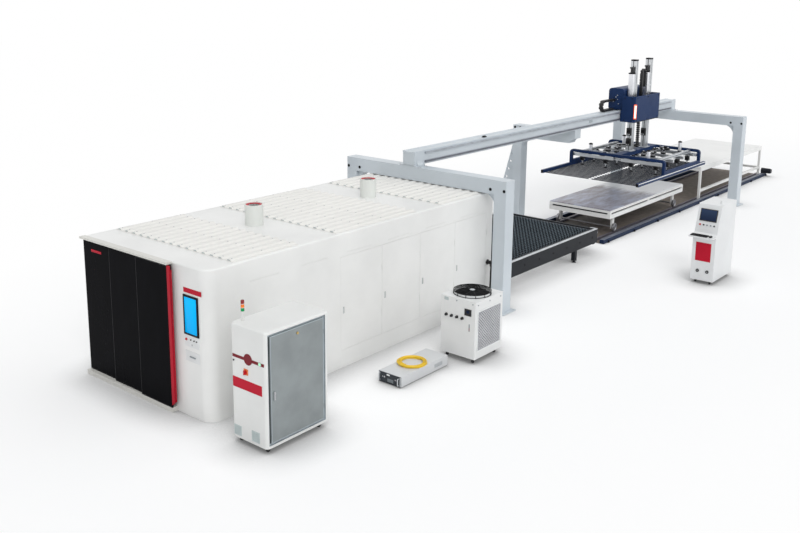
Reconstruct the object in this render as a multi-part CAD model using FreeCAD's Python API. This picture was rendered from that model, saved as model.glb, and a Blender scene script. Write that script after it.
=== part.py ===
import FreeCAD, Part
import math
import os
from FreeCAD import Vector

# A fiber laser cutting line with its loading and unloading gantry, in millimetres.
# X runs along the line from the front door to the unloading end, Y = 0 is the
# line's middle plane with the operator's side at -Y, Z = 0 is the floor.

# ---- running clearances -------------------------------------------------------------
slide_gap = 0.3          # between faces that slide or rest lightly
door_gap = 3.0           # round a door or a drawer in its opening

# ---- enclosure ----------------------------------------------------------------------
enclosure_length = 7400.0
enclosure_width = 3100.0
enclosure_height = 2400.0
wall = 60.0
cabin_length = 540.0
cabin_radius = 200.0
cabin_far_radius = 60.0
roof_round = 30.0

front_door_bottom = 75.0
front_door_top = 2368.0
front_column = 790.0     # width of the operator's column beside the front door
leaf_thickness = 25.0
leaf_count = 3
leaf_overlap = 20.0
leaf_pitch = 34.0        # from one leaf's groove to the next
track_depth = 112.0
track_lip = 5.0
head_height = 34.0
opening_margin = 20.0    # by which the leaves cover the edge of the doorway
handle_width = 62.0
handle_depth = 48.0

side_door_count = 4
side_door_start = 2840.0
side_door_rear = 200.0   # from the last side door to the rear wall
side_door_pitch = (enclosure_length - side_door_rear - side_door_start) / side_door_count
side_door_bottom = 320.0
side_door_top = 1990.0
side_door_post = 16.0
side_door_leaf = 36.0
hinge_radius = 5.0
hinge_out = 7.0          # from the wall's face out to the hinge pin
hinge_length = 60.0
side_door_pull = (34.0, 120.0, 8.0)
side_slit_height = 2050.0
side_slit = (620.0, 10.0, 6.0)
side_panel_count = 6

exchange_slot_width = 2800.0
exchange_slot_bottom = 270.0
exchange_slot_top = 1180.0

rib_count = 15
rib_height = 26.0
rib_base = 116.0
rib_crest = 62.0
sheet_thickness = 8.0
sheet_rear = 60.0        # from the last roof sheet to the rear wall
sheet_spans = ((560.0, 1910.0), (2800.0, 4950.0), (5700.0, enclosure_length - sheet_rear))
sheet_margin = 25.0

vent_radius = 160.0
vent_wall = 12.0
vent_height = 370.0
vent_places = (2320.0, 5300.0)
vent_damper = 105.0

panel_width = 340.0
panel_middle = -1178.0
screen_bottom = 1330.0
screen_top = 1950.0
screen_depth = 16.0
screen_frame = 26.0
plate_bottom = 1140.0
plate_depth = 6.0
estop_radius = 20.0
estop_stem = 11.0
estop_dome = 18.0         # the head's depth
estop_rim = 9.0           # the straight part of it
estop_slope = 8.0         # how far the sloping face runs in
estop_travel = 6.0
estop_height = 1258.0
estop_across = 112.0     # from the panel's middle to the stop button
key_radius = 7.0
key_places = (24.0, -52.0, -110.0)
drawer_bottom = 900.0
drawer_height = 170.0
drawer_length = 420.0
drawer_wall = 4.0

# ---- cutting machine inside ---------------------------------------------------------
bed_start = 900.0
bed_end = enclosure_length - wall
bed_outer = 1475.0
bed_beam = 110.0
bed_bottom = 250.0
bed_top = 900.0
bed_foot = 140.0
bed_foot_rows = 5
ledge_reach = 70.0
ledge_thickness = 20.0
lower_ledge = 320.0      # top of the ledge that carries the inner pallet
upper_ledge = 520.0      # top of the ledge that carries the outer pallet
rail_width = 40.0
rail_height = 40.0

gantry_x = 2300.0
gantry_depth = 300.0
gantry_truck = 620.0
gantry_truck_height = 150.0
gantry_beam_height = 320.0
cross_width = 420.0
cross_depth = 90.0
head_radius = 60.0
head_length = 620.0
nozzle_length = 90.0
nozzle_radius = 8.0
nozzle_height = 770.0

pallet_length = 4700.0
pallet_gap = 25.0        # beside the pallet, to the bed and to the table's side beams
pallet_rail = 90.0
slat_count = 36
slat_thickness = 6.0
slat_rise = 30.0
slat_depth = 70.0
inner_pallet_start = 2350.0

# ---- exchange table -----------------------------------------------------------------
table_length = 4900.0
table_end = enclosure_length + table_length
table_half = 1430.0
table_side = 60.0
table_bottom = 290.0
table_top = 630.0
table_strip = 16.0
table_leg = 100.0
table_leg_places = (enclosure_length + 850.0, table_end - 1100.0)
foot_radius = 60.0
foot_height = 22.0
foot_stud = 18.0
table_motor_radius = 62.0
table_motor_length = 210.0
table_gearbox = (150.0, 170.0, 190.0)

# ---- loader portals and beam --------------------------------------------------------
line_gap = 900.0         # from the exchange table to the floor rails
portal_setback = 400.0   # of the front portal from the enclosure's rear wall
portal_front = enclosure_length - portal_setback
portal_end = table_end + line_gap + 6730.0
portal_depth = 300.0
portal_leg = 290.0
portal_half = 2130.0
crossbeam_height = 290.0
portal_roof_gap = 6.0    # from the roof's ribs to the crossbeam
portal_height = (enclosure_height + sheet_thickness + rib_height + portal_roof_gap
                 + crossbeam_height)
base_plate = 20.0
base_margin = 80.0
anchor_radius = 11.0
anchor_inset = 40.0
gusset_width = 260.0
gusset_drop = 330.0
gusset_depth = 180.0
saddle_height = 30.0
middle_place = table_end + line_gap + 800.0
brace_thickness = 40.0
brace_top = portal_height - 580.0
brace_foot = 630.0
brace_hole = 34.0
brace_hole_rows = 4
arm_height = 330.0

beam_width = 310.0
beam_height = 300.0
beam_middle = 335.0
beam_overhang = 20.0     # past each portal
beam_start = portal_front - beam_overhang
beam_end = portal_end + portal_depth + beam_overhang
beam_rail_width = 30.0
beam_rail_height = 36.0
beam_rail_inset = 36.0

# ---- loader carriage, masts and lifting frame ---------------------------------------
carriage_start = table_end + line_gap + 3180.0
carriage_length = 1590.0
cover_front = 300.0      # from the masts' plane out to the cover's face
cover_plate = 20.0
cover_bottom = portal_height + 15.0
cover_top = portal_height + 757.0
drive_box_width = 470.0
drive_box_top = portal_height + 950.0
drive_box_round = 90.0
yoke_gap = 15.0
yoke_thickness = 35.0
mast_offset = 420.0      # from the carriage's front end to the first mast
mast_pitch = 950.0
mast_side = 160.0
mast_groove = 22.0
mast_bottom = portal_height - 850.0
mast_top = portal_height + 1770.0
mast_foot = 300.0
mast_foot_thickness = 20.0
guide_depth = 15.0
cylinder_radius = 46.0
cylinder_bottom = portal_height + 170.0
cylinder_top = portal_height + 1520.0
cylinder_cap = 40.0

frame_start = carriage_start - 430.0
frame_length = 2500.0
frame_half = 1480.0
frame_tube = 80.0
frame_top = mast_bottom - mast_foot_thickness
frame_round = 110.0
frame_rail_top = frame_top - 320.0
spine_width = 240.0
spine_height = 110.0
bar_count = 4
bar_width = 80.0
bar_height = 80.0
bar_half = 1340.0
cup_rows = (-1150.0, -400.0, 400.0, 1150.0)
cup_radius = 60.0
cup_height = 40.0
cup_bottom = frame_top - 460.0
cup_rod = 12.0
plunger_radius = 38.0
plunger_height = 300.0
plunger_rows = (-900.0, 900.0)
stringer_width = 50.0
stringer_height = 90.0
stringer_top = frame_top - frame_tube - 30.0
side_profile = 1120.0
valve_size = (110.0, 90.0, 130.0)
valve_rows = (-700.0, -420.0, 420.0, 700.0)

fork_start = frame_start - 1600.0
fork_length = 4500.0
fork_outer = 1480.0
fork_rail_width = 70.0
fork_rail_height = 90.0
fork_top = frame_top - 405.0
tine_count = 28
tine_width = 24.0
tine_height = 26.0
tine_reach = 1360.0
tine_inset = 120.0

# ---- floor rails, sheet trolley and unloading table ---------------------------------
track_length = 12300.0
track_start = table_end + line_gap
track_end = track_start + track_length
track_half = 1160.0
track_beam = 120.0
track_height = 110.0
track_plate = 10.0
wheel_rail_middle = 850.0
wheel_rail_width = 60.0
wheel_rail_top = 70.0
drive_radius = 90.0
drive_length = 300.0

trolley_start = track_start + 750.0
trolley_length = 4700.0
trolley_half = 925.0
trolley_top = 700.0
trolley_tier = 60.0
trolley_slot = 45.0
trolley_lower = 110.0
trolley_rail = 80.0
deck_thickness = 20.0
wheel_radius = 110.0
wheel_width = 50.0
axle_radius = 22.0
axle_inset = 420.0
wheel_hub_gap = 6.0

unload_start = track_start + 6500.0
unload_length = 5450.0
unload_rail_gap = 4.0    # from the table's near legs to the rail beside them
unload_near = track_half - track_beam - unload_rail_gap
unload_far = 1400.0
unload_top = 1100.0
unload_slab = 50.0
unload_apron = 90.0
unload_leg = 70.0
unload_leg_columns = 3
unload_bar_height = 300.0

# ---- electrical cabinet -------------------------------------------------------------
cabinet_front = -100.0
cabinet_length = 1210.0
cabinet_near = -2900.0
cabinet_width = 740.0
cabinet_bottom = 90.0
cabinet_top = 1820.0
cabinet_wall = 40.0
cabinet_round = 60.0
cabinet_recess = 22.0
cabinet_frame = 70.0
cabinet_door_thickness = 24.0
cabinet_hinge = 6.0
switch_height = 1148.0
switch_place = -2485.0
switch_radius = 34.0
tower_radius = 26.0
tower_place = (60.0, -2262.0)
tower_height = 300.0
rack_thickness = 5.0

# ---- chiller ------------------------------------------------------------------------
chiller_front = 4450.0
chiller_length = 850.0
chiller_near = -3230.0
chiller_width = 750.0
chiller_bottom = 100.0
chiller_top = 1150.0
fan_radius = 300.0
fan_hub = 60.0
fan_blades = 5
fan_pitch = 18.0
fan_height = 46.0
fan_seat = 1095.0
well_depth = 90.0        # below the rotor
well_gap = 12.0          # round the blades' tips
guard_radius = 335.0
guard_rise = 46.0
guard_spokes = 6
guard_rings = 1
guard_wire = 8.0
guard_hub = 45.0
port_height = 810.0
port_radius = 21.0
port_pitch = 115.0
port_count = 4
mesh_bar_count = 12

# ---- laser source and its coiled fibre ----------------------------------------------
source_front = 2880.0
source_length = 1270.0
source_near = -2870.0
source_width = 480.0
source_foot = 12.0
source_height = 185.0
source_handle = 130.0
source_handle_bar = 12.0
fibre_radius = 10.0
coil_inner = 176.0
coil_turns = 3           # turns in each layer
coil_layers = 2
coil_pitch = 23.5        # from one turn to the next one out
coil_step = 21.5         # from one layer to the next
coil_place = (3470.0, -2620.0)

# ---- loader's console ---------------------------------------------------------------
console_front = table_end - 670.0
console_length = 1100.0
console_near = -4650.0
console_width = 520.0
console_bottom = 82.0
console_top = 1795.0
console_shelf = 1130.0
console_shelf_reach = 240.0
console_shelf_thickness = 22.0
console_slope = 230.0
console_brow = 60.0
socket_radius = 30.0
keyboard_size = (150.0, 380.0, 22.0)

# ---- castors and hose ---------------------------------------------------------------
castor_radius = 34.0
castor_width = 26.0
castor_inset = 95.0
hose_radius = 30.0
elbow_radius = 38.0
hose_wall_place = (enclosure_length - 138.0, 930.0)    # along the line, above the floor
hose_inlet_height = 150.0

nodes = {}
cords = ("water_hose", "fibre_coil")


def block(x0, x1, y0, y1, z0, z1):
    return Part.makeBox(x1 - x0, y1 - y0, z1 - z0, Vector(x0, y0, z0))


def rod(start, direction, radius, length):
    return Part.makeCylinder(radius, length, Vector(*start), Vector(*direction))


def outline_face(edges):
    return Part.makeFace(Part.Wire(Part.sortEdges(edges)[0]), "Part::FaceMakerBullseye")


def drawn(edges, vector):
    return outline_face(edges).extrude(Vector(*vector))


def prism(points, vector):
    corners = [Vector(*p) for p in points]
    return drawn(Part.makePolygon(corners + corners[:1]).Edges, vector)


def turned(edges, centre, axis):
    return outline_face(edges).revolve(Vector(*centre), Vector(*axis), 360)


def turned_upright(profile, x, y):
    """Radius and height pairs turned about an upright line."""
    points = [Vector(x + r, y, z) for r, z in profile + profile[:1]]
    return turned(Part.makePolygon(points).Edges, (x, y, 0), (0, 0, 1))


def joined(shapes):
    return shapes[0].multiFuse(shapes[1:]).removeSplitter()


def group(shapes):
    return Part.makeCompound(shapes)


def along(shape, direction):
    """Edges that run along an axis, for rounding."""
    axis = Vector(*direction)
    return [e for e in shape.Edges
            if e.Curve.TypeId == "Part::GeomLine" and abs(e.Curve.Direction.dot(axis)) > 0.999]


def rounded(shape, direction, radius, keep=lambda middle: True):
    edges = [e for e in along(shape, direction) if keep(e.CenterOfMass)]
    return shape.makeFillet(radius, edges)


def add(name, shape):
    nodes[name] = shape


# ---- enclosure ----------------------------------------------------------------------
half_width = enclosure_width / 2
near_wall = -half_width
far_wall = half_width
doorway_near = near_wall + front_column
deck = enclosure_height


def cabin_block(inset, length, top):
    near_radius = cabin_radius - inset
    far_radius = max(cabin_far_radius - inset, 1.0)
    shape = block(inset, length, near_wall + inset, far_wall - inset, 0, top)
    front = inset + 1.0
    shape = rounded(shape, (0, 0, 1), near_radius, lambda m: m.x < front and m.y < 0)
    return rounded(shape, (0, 0, 1), far_radius, lambda m: m.x < front and m.y > 0)


def front_cabin():
    outer = cabin_block(0, cabin_length, deck)
    outer = rounded(outer, (1, 0, 0), roof_round, lambda m: m.z > deck - 1)
    inner = cabin_block(wall, cabin_length + 1, deck - wall)
    inner.translate(Vector(0, 0, -1))
    doorway = block(-1, wall + 1, doorway_near + opening_margin, far_wall - wall,
                    front_door_bottom + opening_margin, front_door_top - opening_margin)
    shape = outer.cut(inner).cut(doorway)
    drawer_hole = block(-1, wall + 1, panel_middle - panel_width / 2, panel_middle + panel_width / 2,
                        drawer_bottom, drawer_bottom + drawer_height)
    return shape.cut(drawer_hole)


def side_door_x(index):
    return side_door_start + index * side_door_pitch


def side_slits():
    first = side_door_start - (side_panel_count - side_door_count) * side_door_pitch
    length, height, depth = side_slit
    inset = (side_door_pitch - length) / 3
    return [block(first + i * side_door_pitch + inset, first + i * side_door_pitch + inset + length,
                  near_wall - 1, near_wall + depth, side_slit_height, side_slit_height + height)
            for i in range(side_panel_count)]


def side_opening(index):
    start = side_door_x(index) + side_door_post / 2
    return start, start + side_door_pitch - side_door_post


def hinge_pins(index, on_door):
    """Knuckles on a door's rear edge; the wall's ones stand below the door's ones."""
    x = side_opening(index)[1] + side_door_post / 4
    y = near_wall - hinge_out
    step = (side_door_top - side_door_bottom) / 4
    shapes = []
    for level in (side_door_bottom + step, side_door_top - step):
        base = level if on_door else level - hinge_length - slide_gap
        knuckle = rod((x, y, base), (0, 0, 1), hinge_radius, hinge_length)
        x0 = x - 3 * hinge_radius if on_door else x
        strap = block(x0, x0 + (3 if on_door else 2) * hinge_radius, y, near_wall,
                      base, base + hinge_length)
        shapes.append(knuckle.fuse(strap))
    return shapes


def enclosure_shell():
    outer = block(cabin_length, enclosure_length, near_wall, far_wall, 0, deck)
    outer = rounded(outer, (1, 0, 0), roof_round, lambda m: m.z > deck - 1)
    inner = block(cabin_length - 1, enclosure_length - wall, near_wall + wall, far_wall - wall,
                  -1, deck - wall)
    shape = outer.cut(inner)
    cuts = [block(*side_opening(i), near_wall - 1, near_wall + wall + 1,
                  side_door_bottom, side_door_top) for i in range(side_door_count)]
    cuts.append(block(enclosure_length - wall - 1, enclosure_length + 1,
                      -exchange_slot_width / 2, exchange_slot_width / 2,
                      exchange_slot_bottom, exchange_slot_top))
    cuts += [rod((x, 0, deck - wall - 1), (0, 0, 1), vent_radius - vent_wall, wall + 2)
             for x in vent_places]
    cuts += side_slits()
    shape = shape.cut(group(cuts))
    knuckles = [s for i in range(side_door_count) for s in hinge_pins(i, False)]
    return joined([shape] + knuckles)


def side_door(index):
    x0, x1 = side_opening(index)
    leaf = block(x0 + door_gap, x1 - door_gap, near_wall, near_wall + side_door_leaf,
                 side_door_bottom + door_gap, side_door_top - door_gap)
    width, height, depth = side_door_pull
    middle = (side_door_bottom + side_door_top) / 2 - 115.0
    pull_start = x0 + door_gap + 2 * width
    pull = block(pull_start, pull_start + width, near_wall - 1, near_wall + depth,
                 middle - height / 2, middle + height / 2)
    return joined([leaf.cut(pull)] + hinge_pins(index, True))


def ribbed_sheet(start, end):
    """One roof sheet: a trapezoid-ribbed profile drawn along the line."""
    width = enclosure_width - 2 * sheet_margin - 2 * roof_round
    pitch = width / rib_count
    low = deck + sheet_thickness
    high = low + rib_height
    points = [(start, -width / 2, deck)]
    for i in range(rib_count):
        middle = -width / 2 + (i + 0.5) * pitch
        points += [(start, middle - rib_base / 2, low), (start, middle - rib_crest / 2, high),
                   (start, middle + rib_crest / 2, high), (start, middle + rib_base / 2, low)]
    points.insert(1, (start, -width / 2, low))
    points += [(start, width / 2, low), (start, width / 2, deck)]
    return prism(points, (end - start, 0, 0))


def vent_stack(x):
    tube = rod((x, 0, deck), (0, 0, 1), vent_radius, vent_height)
    bore = rod((x, 0, deck - 1), (0, 0, 1), vent_radius - vent_wall, vent_height + 2)
    collar_base = deck + vent_height - 3 * vent_wall
    collar = rod((x, 0, collar_base), (0, 0, 1), vent_radius - vent_wall, vent_wall)
    mouth = rod((x, 0, collar_base - 1), (0, 0, 1), vent_damper, vent_wall + 2)
    return joined([tube.cut(bore), collar.cut(mouth)])


def leaf_front(index):
    """X of a leaf's outer face, the near leaf standing furthest out."""
    return -track_depth + track_lip + index * leaf_pitch


leaf_span = far_wall - doorway_near
leaf_width = (leaf_span + (leaf_count - 1) * leaf_overlap) / leaf_count
leaf_travel = leaf_width - leaf_overlap


def door_leaf(index):
    y0 = doorway_near + index * leaf_travel
    x0 = leaf_front(index)
    leaf = block(x0, x0 + leaf_thickness, y0, y0 + leaf_width, front_door_bottom, front_door_top)
    return rounded(leaf, (0, 0, 1), leaf_thickness / 6)


def door_tracks():
    """Sill and head channel that the leaves run between."""
    return group([block(-track_depth, 0, doorway_near, far_wall, 0, front_door_bottom - slide_gap),
                  block(-track_depth, 0, doorway_near, far_wall, front_door_top + slide_gap,
                        front_door_top + head_height)])


def door_handle():
    """The pull strip on the near leaf: notched at the top, chamfered at the foot."""
    y1 = doorway_near
    y0 = y1 - handle_width
    x0 = leaf_front(0)
    z0 = front_door_bottom + 45.0
    z1 = front_door_top - 10.0
    notch = 60.0
    side = prism([(x0, y1, z0), (x0, y1, z1), (x0, y0, z1), (x0, y0, z0 + handle_width)],
                 (handle_depth, 0, 0))
    return side.cut(block(x0 + handle_depth / 2, x0 + handle_depth + 1, y0 - 1, y1 - 10,
                          z1 - notch, z1 + 1))


def operator_panel():
    y0 = panel_middle - panel_width / 2
    y1 = panel_middle + panel_width / 2
    screen = rounded(block(-screen_depth, 0, y0, y1, screen_bottom, screen_top), (1, 0, 0), 12)
    pane = block(-screen_depth - 1, -screen_depth + 3, y0 + screen_frame, y1 - screen_frame,
                 screen_bottom + screen_frame, screen_top - screen_frame)
    plate = block(-plate_depth, 0, y0, y1, plate_bottom, screen_bottom)
    stop_y = panel_middle + estop_across
    collar = rod((-plate_depth, stop_y, estop_height), (-1, 0, 0), 1.6 * estop_stem, 8)
    bore = rod((1, stop_y, estop_height), (-1, 0, 0), estop_stem + slide_gap, 40)
    keys = [rod((-plate_depth, panel_middle + y, estop_height), (-1, 0, 0), key_radius, 8)
            for y in key_places]
    lock = rod((-plate_depth, panel_middle, plate_bottom + 40), (-1, 0, 0), 1.4 * key_radius, 6)
    return joined([screen.cut(pane), plate.fuse(collar).cut(bore), lock] + keys)


def mushroom(reach):
    """A stop button on +X-going stem, its bevelled head's back at x = 0."""
    points = [Vector(-estop_dome, 0, 0), Vector(reach, 0, 0), Vector(reach, 0, estop_stem),
              Vector(0, 0, estop_stem), Vector(0, 0, estop_radius),
              Vector(-estop_rim, 0, estop_radius),
              Vector(-estop_dome, 0, estop_radius - estop_slope), Vector(-estop_dome, 0, 0)]
    return turned(Part.makePolygon(points).Edges, (0, 0, 0), (1, 0, 0))


def front_estop():
    shape = mushroom(plate_depth + 10 - slide_gap)
    head_back = -plate_depth - 8 - estop_travel - 2
    shape.translate(Vector(head_back, panel_middle + estop_across, estop_height))
    return shape


def keyboard_drawer():
    y0 = panel_middle - panel_width / 2 + door_gap
    y1 = panel_middle + panel_width / 2 - door_gap
    z0 = drawer_bottom + slide_gap
    z1 = drawer_bottom + drawer_height - door_gap
    front = block(0, 20, y0, y1, z0, z1)
    tray = block(20, drawer_length, y0 + 2, y1 - 2, z0, z0 + 60)
    hollow = block(20 + drawer_wall, drawer_length - drawer_wall, y0 + 2 + drawer_wall,
                   y1 - 2 - drawer_wall, z0 + drawer_wall, z0 + 61)
    return joined([front, tray.cut(hollow)])


# ---- cutting machine inside ---------------------------------------------------------
ledge_inner = bed_outer - bed_beam - ledge_reach
pallet_half = bed_outer - bed_beam - pallet_gap


def mirrored(make):
    return [make(side) for side in (-1, 1)]


def side_block(x0, x1, side, inner, outer, z0, z1):
    y0, y1 = sorted((side * inner, side * outer))
    return block(x0, x1, y0, y1, z0, z1)


def machine_bed():
    shapes = []
    inner = bed_outer - bed_beam
    for side in (-1, 1):
        beam = side_block(bed_start, bed_end, side, inner, bed_outer, bed_bottom, bed_top)
        shapes.append(beam)
        for level in (lower_ledge, upper_ledge):
            shapes.append(side_block(bed_start, bed_end, side, ledge_inner, inner,
                                     level - ledge_thickness, level))
        step = (bed_end - bed_start - bed_foot) / (bed_foot_rows - 1)
        for i in range(bed_foot_rows):
            x = bed_start + i * step
            shapes.append(side_block(x, x + bed_foot, side, inner, bed_outer, 0, bed_bottom))
        rail_middle = bed_outer - bed_beam / 2
        shapes.append(side_block(bed_start, bed_end, side, rail_middle - rail_width / 2,
                                 rail_middle + rail_width / 2, bed_top, bed_top + rail_height))
    for x in (bed_start, (bed_start + bed_end - bed_foot) / 2, bed_end - bed_foot):
        shapes.append(block(x, x + bed_foot, -inner, inner, bed_bottom - 90, bed_bottom))
    return joined(shapes)


truck_base = bed_top + rail_height + slide_gap
gantry_top = truck_base + gantry_truck_height + gantry_beam_height


def gantry_beam():
    shapes = []
    for side in (-1, 1):
        truck_x = gantry_x + gantry_depth / 2 - gantry_truck / 2
        shapes.append(side_block(truck_x, truck_x + gantry_truck, side, bed_outer - bed_beam,
                                 bed_outer - 15, truck_base, truck_base + gantry_truck_height))
    beam = block(gantry_x, gantry_x + gantry_depth, -bed_outer + 15, bed_outer - 15,
                 truck_base + gantry_truck_height, gantry_top)
    shapes.append(rounded(beam, (0, 1, 0), 25, lambda m: m.z > gantry_top - 1))
    for z in (truck_base + gantry_truck_height + 50, gantry_top - 80):
        shapes.append(block(gantry_x - 20, gantry_x, -bed_outer + 160, bed_outer - 160, z, z + 30))
    return joined(shapes)


cross_back = gantry_x - 20 - slide_gap
cross_low = truck_base + gantry_truck_height - 40


def cross_carriage():
    plate = block(cross_back - 30, cross_back, -cross_width / 2, cross_width / 2,
                  cross_low, gantry_top + 30)
    housing = block(cross_back - 30 - cross_depth, cross_back - 30, -cross_width / 3,
                    cross_width / 3, cross_low + 60, gantry_top + 260)
    housing = rounded(housing, (0, 0, 1), 20, lambda m: m.x < cross_back - 40)
    return joined([plate, housing])


head_x = cross_back - 30 - cross_depth - slide_gap - 15 - head_radius


def cutting_head():
    """Head body, collimator neck and copper nozzle turned about one axis."""
    base = nozzle_height + nozzle_length
    profile = [(0, nozzle_height), (nozzle_radius, nozzle_height), (26, base),
               (head_radius, base + 30), (head_radius, base + 0.6 * head_length),
               (38, base + 0.68 * head_length), (38, base + head_length), (0, base + head_length)]
    body = turned_upright(profile, head_x, 0)
    slide = block(head_x, cross_back - 30 - cross_depth - slide_gap, -45, 45,
                  base + 60, base + 0.9 * head_length)
    return joined([body, slide])


def pallet_frame(start, level):
    """Pallet frame on its ledge: side rails, end rails and cross ties under the slats."""
    z0 = level + slide_gap
    z1 = z0 + pallet_rail
    end = start + pallet_length
    shapes = mirrored(lambda s: side_block(start, end, s, pallet_half - pallet_rail, pallet_half,
                                           z0, z1))
    inner = pallet_half - pallet_rail
    for x in (start, end - pallet_rail):
        shapes.append(block(x, x + pallet_rail, -inner, inner, z0, z1))
    for i in (1, 2, 3):
        x = start + i * pallet_length / 4
        shapes.append(block(x - 20, x + 20, -inner, inner, z0, z1 + slat_rise - slat_depth))
    return joined(shapes)


def pallet_slats(start, level):
    top = level + slide_gap + pallet_rail + slat_rise
    first = start + pallet_rail
    pitch = (pallet_length - 2 * pallet_rail) / slat_count
    inner = pallet_half - pallet_rail
    return [block(first + (i + 0.5) * pitch, first + (i + 0.5) * pitch + slat_thickness,
                  -inner, inner, top - slat_depth, top) for i in range(slat_count)]


outer_pallet_start = table_end - table_side - pallet_gap - pallet_length


def exchange_frame():
    start = enclosure_length
    shapes = []
    for side in (-1, 1):
        shapes.append(side_block(start, table_end, side, table_half - table_side, table_half,
                                 table_bottom, table_top))
        shapes.append(side_block(start, table_end, side, table_half - table_side, table_half,
                                 table_top, table_top + table_strip))
        for level in (lower_ledge, upper_ledge):
            shapes.append(side_block(start, table_end, side, ledge_inner,
                                     table_half - table_side, level - ledge_thickness, level))
        for x in table_leg_places:
            leg = side_block(x, x + table_leg, side, table_half - table_leg, table_half,
                             foot_height + foot_stud, table_bottom)
            y = side * (table_half - table_leg / 2)
            stud = rod((x + table_leg / 2, y, 0), (0, 0, 1), foot_stud,
                       foot_height + foot_stud + 1)
            foot = Part.makeCone(foot_radius, foot_stud, foot_height,
                                 Vector(x + table_leg / 2, y, 0), Vector(0, 0, 1))
            shapes += [leg, stud, foot]
    shapes.append(block(table_end - table_side, table_end, -table_half + table_side,
                        table_half - table_side, upper_ledge - ledge_thickness, table_top))
    for x in table_leg_places + (table_end - table_leg,):
        shapes.append(block(x, x + table_leg, -table_half + table_side, table_half - table_side,
                            lower_ledge - ledge_thickness - 60, lower_ledge - ledge_thickness))
    return joined(shapes)


# ---- loader portals and beam --------------------------------------------------------
crossbeam_bottom = portal_height - crossbeam_height
beam_bottom = portal_height + saddle_height
beam_top = beam_bottom + beam_height
beam_near = beam_middle - beam_width / 2
beam_far = beam_middle + beam_width / 2


def base_flange(x0, side):
    """A leg's base plate with its four anchor holes."""
    x1 = x0 + portal_depth
    inner = portal_half - portal_leg - base_margin
    outer = portal_half + base_margin
    plate = side_block(x0 - base_margin, x1 + base_margin, side, inner, outer, 0, base_plate)
    holes = [rod((x, side * y, -1), (0, 0, 1), anchor_radius, base_plate + 2)
             for x in (x0 - anchor_inset, x1 + anchor_inset)
             for y in (inner + anchor_inset, outer - anchor_inset)]
    return plate.cut(group(holes))


def corner_gusset(x0, side, inner, top):
    """A welded corner web with a hollow curved edge, in the plane across the line."""
    corner = Vector(x0, side * inner, top)
    along_beam = Vector(x0, side * (inner - gusset_width), top)
    down_leg = Vector(x0, side * inner, top - gusset_drop)
    waist = Vector(x0, side * (inner - 0.32 * gusset_width), top - 0.32 * gusset_drop)
    curve = Part.Arc(down_leg, waist, along_beam).toShape()
    inset = (portal_depth - gusset_depth) / 2
    web = drawn([Part.makeLine(along_beam, corner), Part.makeLine(corner, down_leg), curve],
                (gusset_depth, 0, 0))
    web.translate(Vector(inset, 0, 0))
    return web


def saddle(x0):
    """The seat under the beam, with cheeks that flare down to the crossbeam."""
    seat = block(x0, x0 + portal_depth, beam_near - 40, beam_far + 40, portal_height, beam_bottom)
    cheeks = []
    for side, face in ((-1, beam_near), (1, beam_far)):
        top = Vector(x0 + 60, face, beam_bottom + 0.5 * beam_height)
        foot = Vector(x0 + 60, face, beam_bottom)
        toe = Vector(x0 + 60, face + side * 40, beam_bottom)
        waist = Vector(x0 + 60, face + side * 12, beam_bottom + 0.16 * beam_height)
        curve = Part.Arc(toe, waist, top).toShape()
        cheeks.append(drawn([Part.makeLine(top, foot), Part.makeLine(foot, toe), curve],
                            (portal_depth - 120, 0, 0)))
    return [seat] + cheeks


def portal(x0):
    inner = portal_half - portal_leg
    shapes = []
    for side in (-1, 1):
        leg = side_block(x0, x0 + portal_depth, side, inner, portal_half, base_plate,
                         portal_height)
        leg = rounded(leg, (0, 0, 1), 20, lambda m: abs(m.y) > inner + 1)
        shapes += [leg, base_flange(x0, side), corner_gusset(x0, side, inner, crossbeam_bottom)]
    shapes.append(block(x0, x0 + portal_depth, -inner, inner, crossbeam_bottom, portal_height))
    return joined(shapes + saddle(x0))


def middle_support():
    """Post on the far side with a holed brace and an arm out under the beam."""
    x0 = middle_place - portal_depth / 2
    inner = portal_half - portal_leg
    post = side_block(x0, x0 + portal_depth, 1, inner, portal_half, base_plate, portal_height)
    arm = block(x0, x0 + portal_depth, beam_near, inner, portal_height - arm_height, portal_height)
    bite = rod((x0 - 1, beam_near, portal_height - arm_height - 40), (1, 0, 0), 0.5 * arm_height,
               portal_depth + 2)
    x1 = middle_place - brace_thickness / 2
    brace = prism([(x1, portal_half, base_plate), (x1, portal_half, brace_top),
                   (x1, portal_half + 80, brace_top), (x1, portal_half + brace_foot, 90),
                   (x1, portal_half + brace_foot, base_plate)], (brace_thickness, 0, 0))
    lean = (brace_foot - 80) / (brace_top - 90)
    holes = []
    for i in range(brace_hole_rows):
        z = brace_top - 260 - i * 230
        y = portal_half + 80 + (brace_top - z) * lean - 2.2 * brace_hole
        holes.append(rod((x1 - 1, y, z), (1, 0, 0), brace_hole, brace_thickness + 2))
    web = corner_gusset(x0, 1, inner, portal_height - arm_height)
    inner_edge = portal_half - portal_leg - base_margin
    outer_edge = portal_half + brace_foot + 20
    plate = block(x0 - base_margin, x0 + portal_depth + base_margin, inner_edge, outer_edge,
                  0, base_plate)
    bolts = [rod((x, y, -1), (0, 0, 1), anchor_radius, base_plate + 2)
             for x in (x0 - anchor_inset, x0 + portal_depth + anchor_inset)
             for y in (inner_edge + anchor_inset, outer_edge - anchor_inset)]
    seat = block(x0, x0 + portal_depth, beam_near, beam_far, portal_height, beam_bottom)
    return joined([post, arm.cut(bite), brace.cut(group(holes)), web, seat,
                   plate.cut(group(bolts))])


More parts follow.
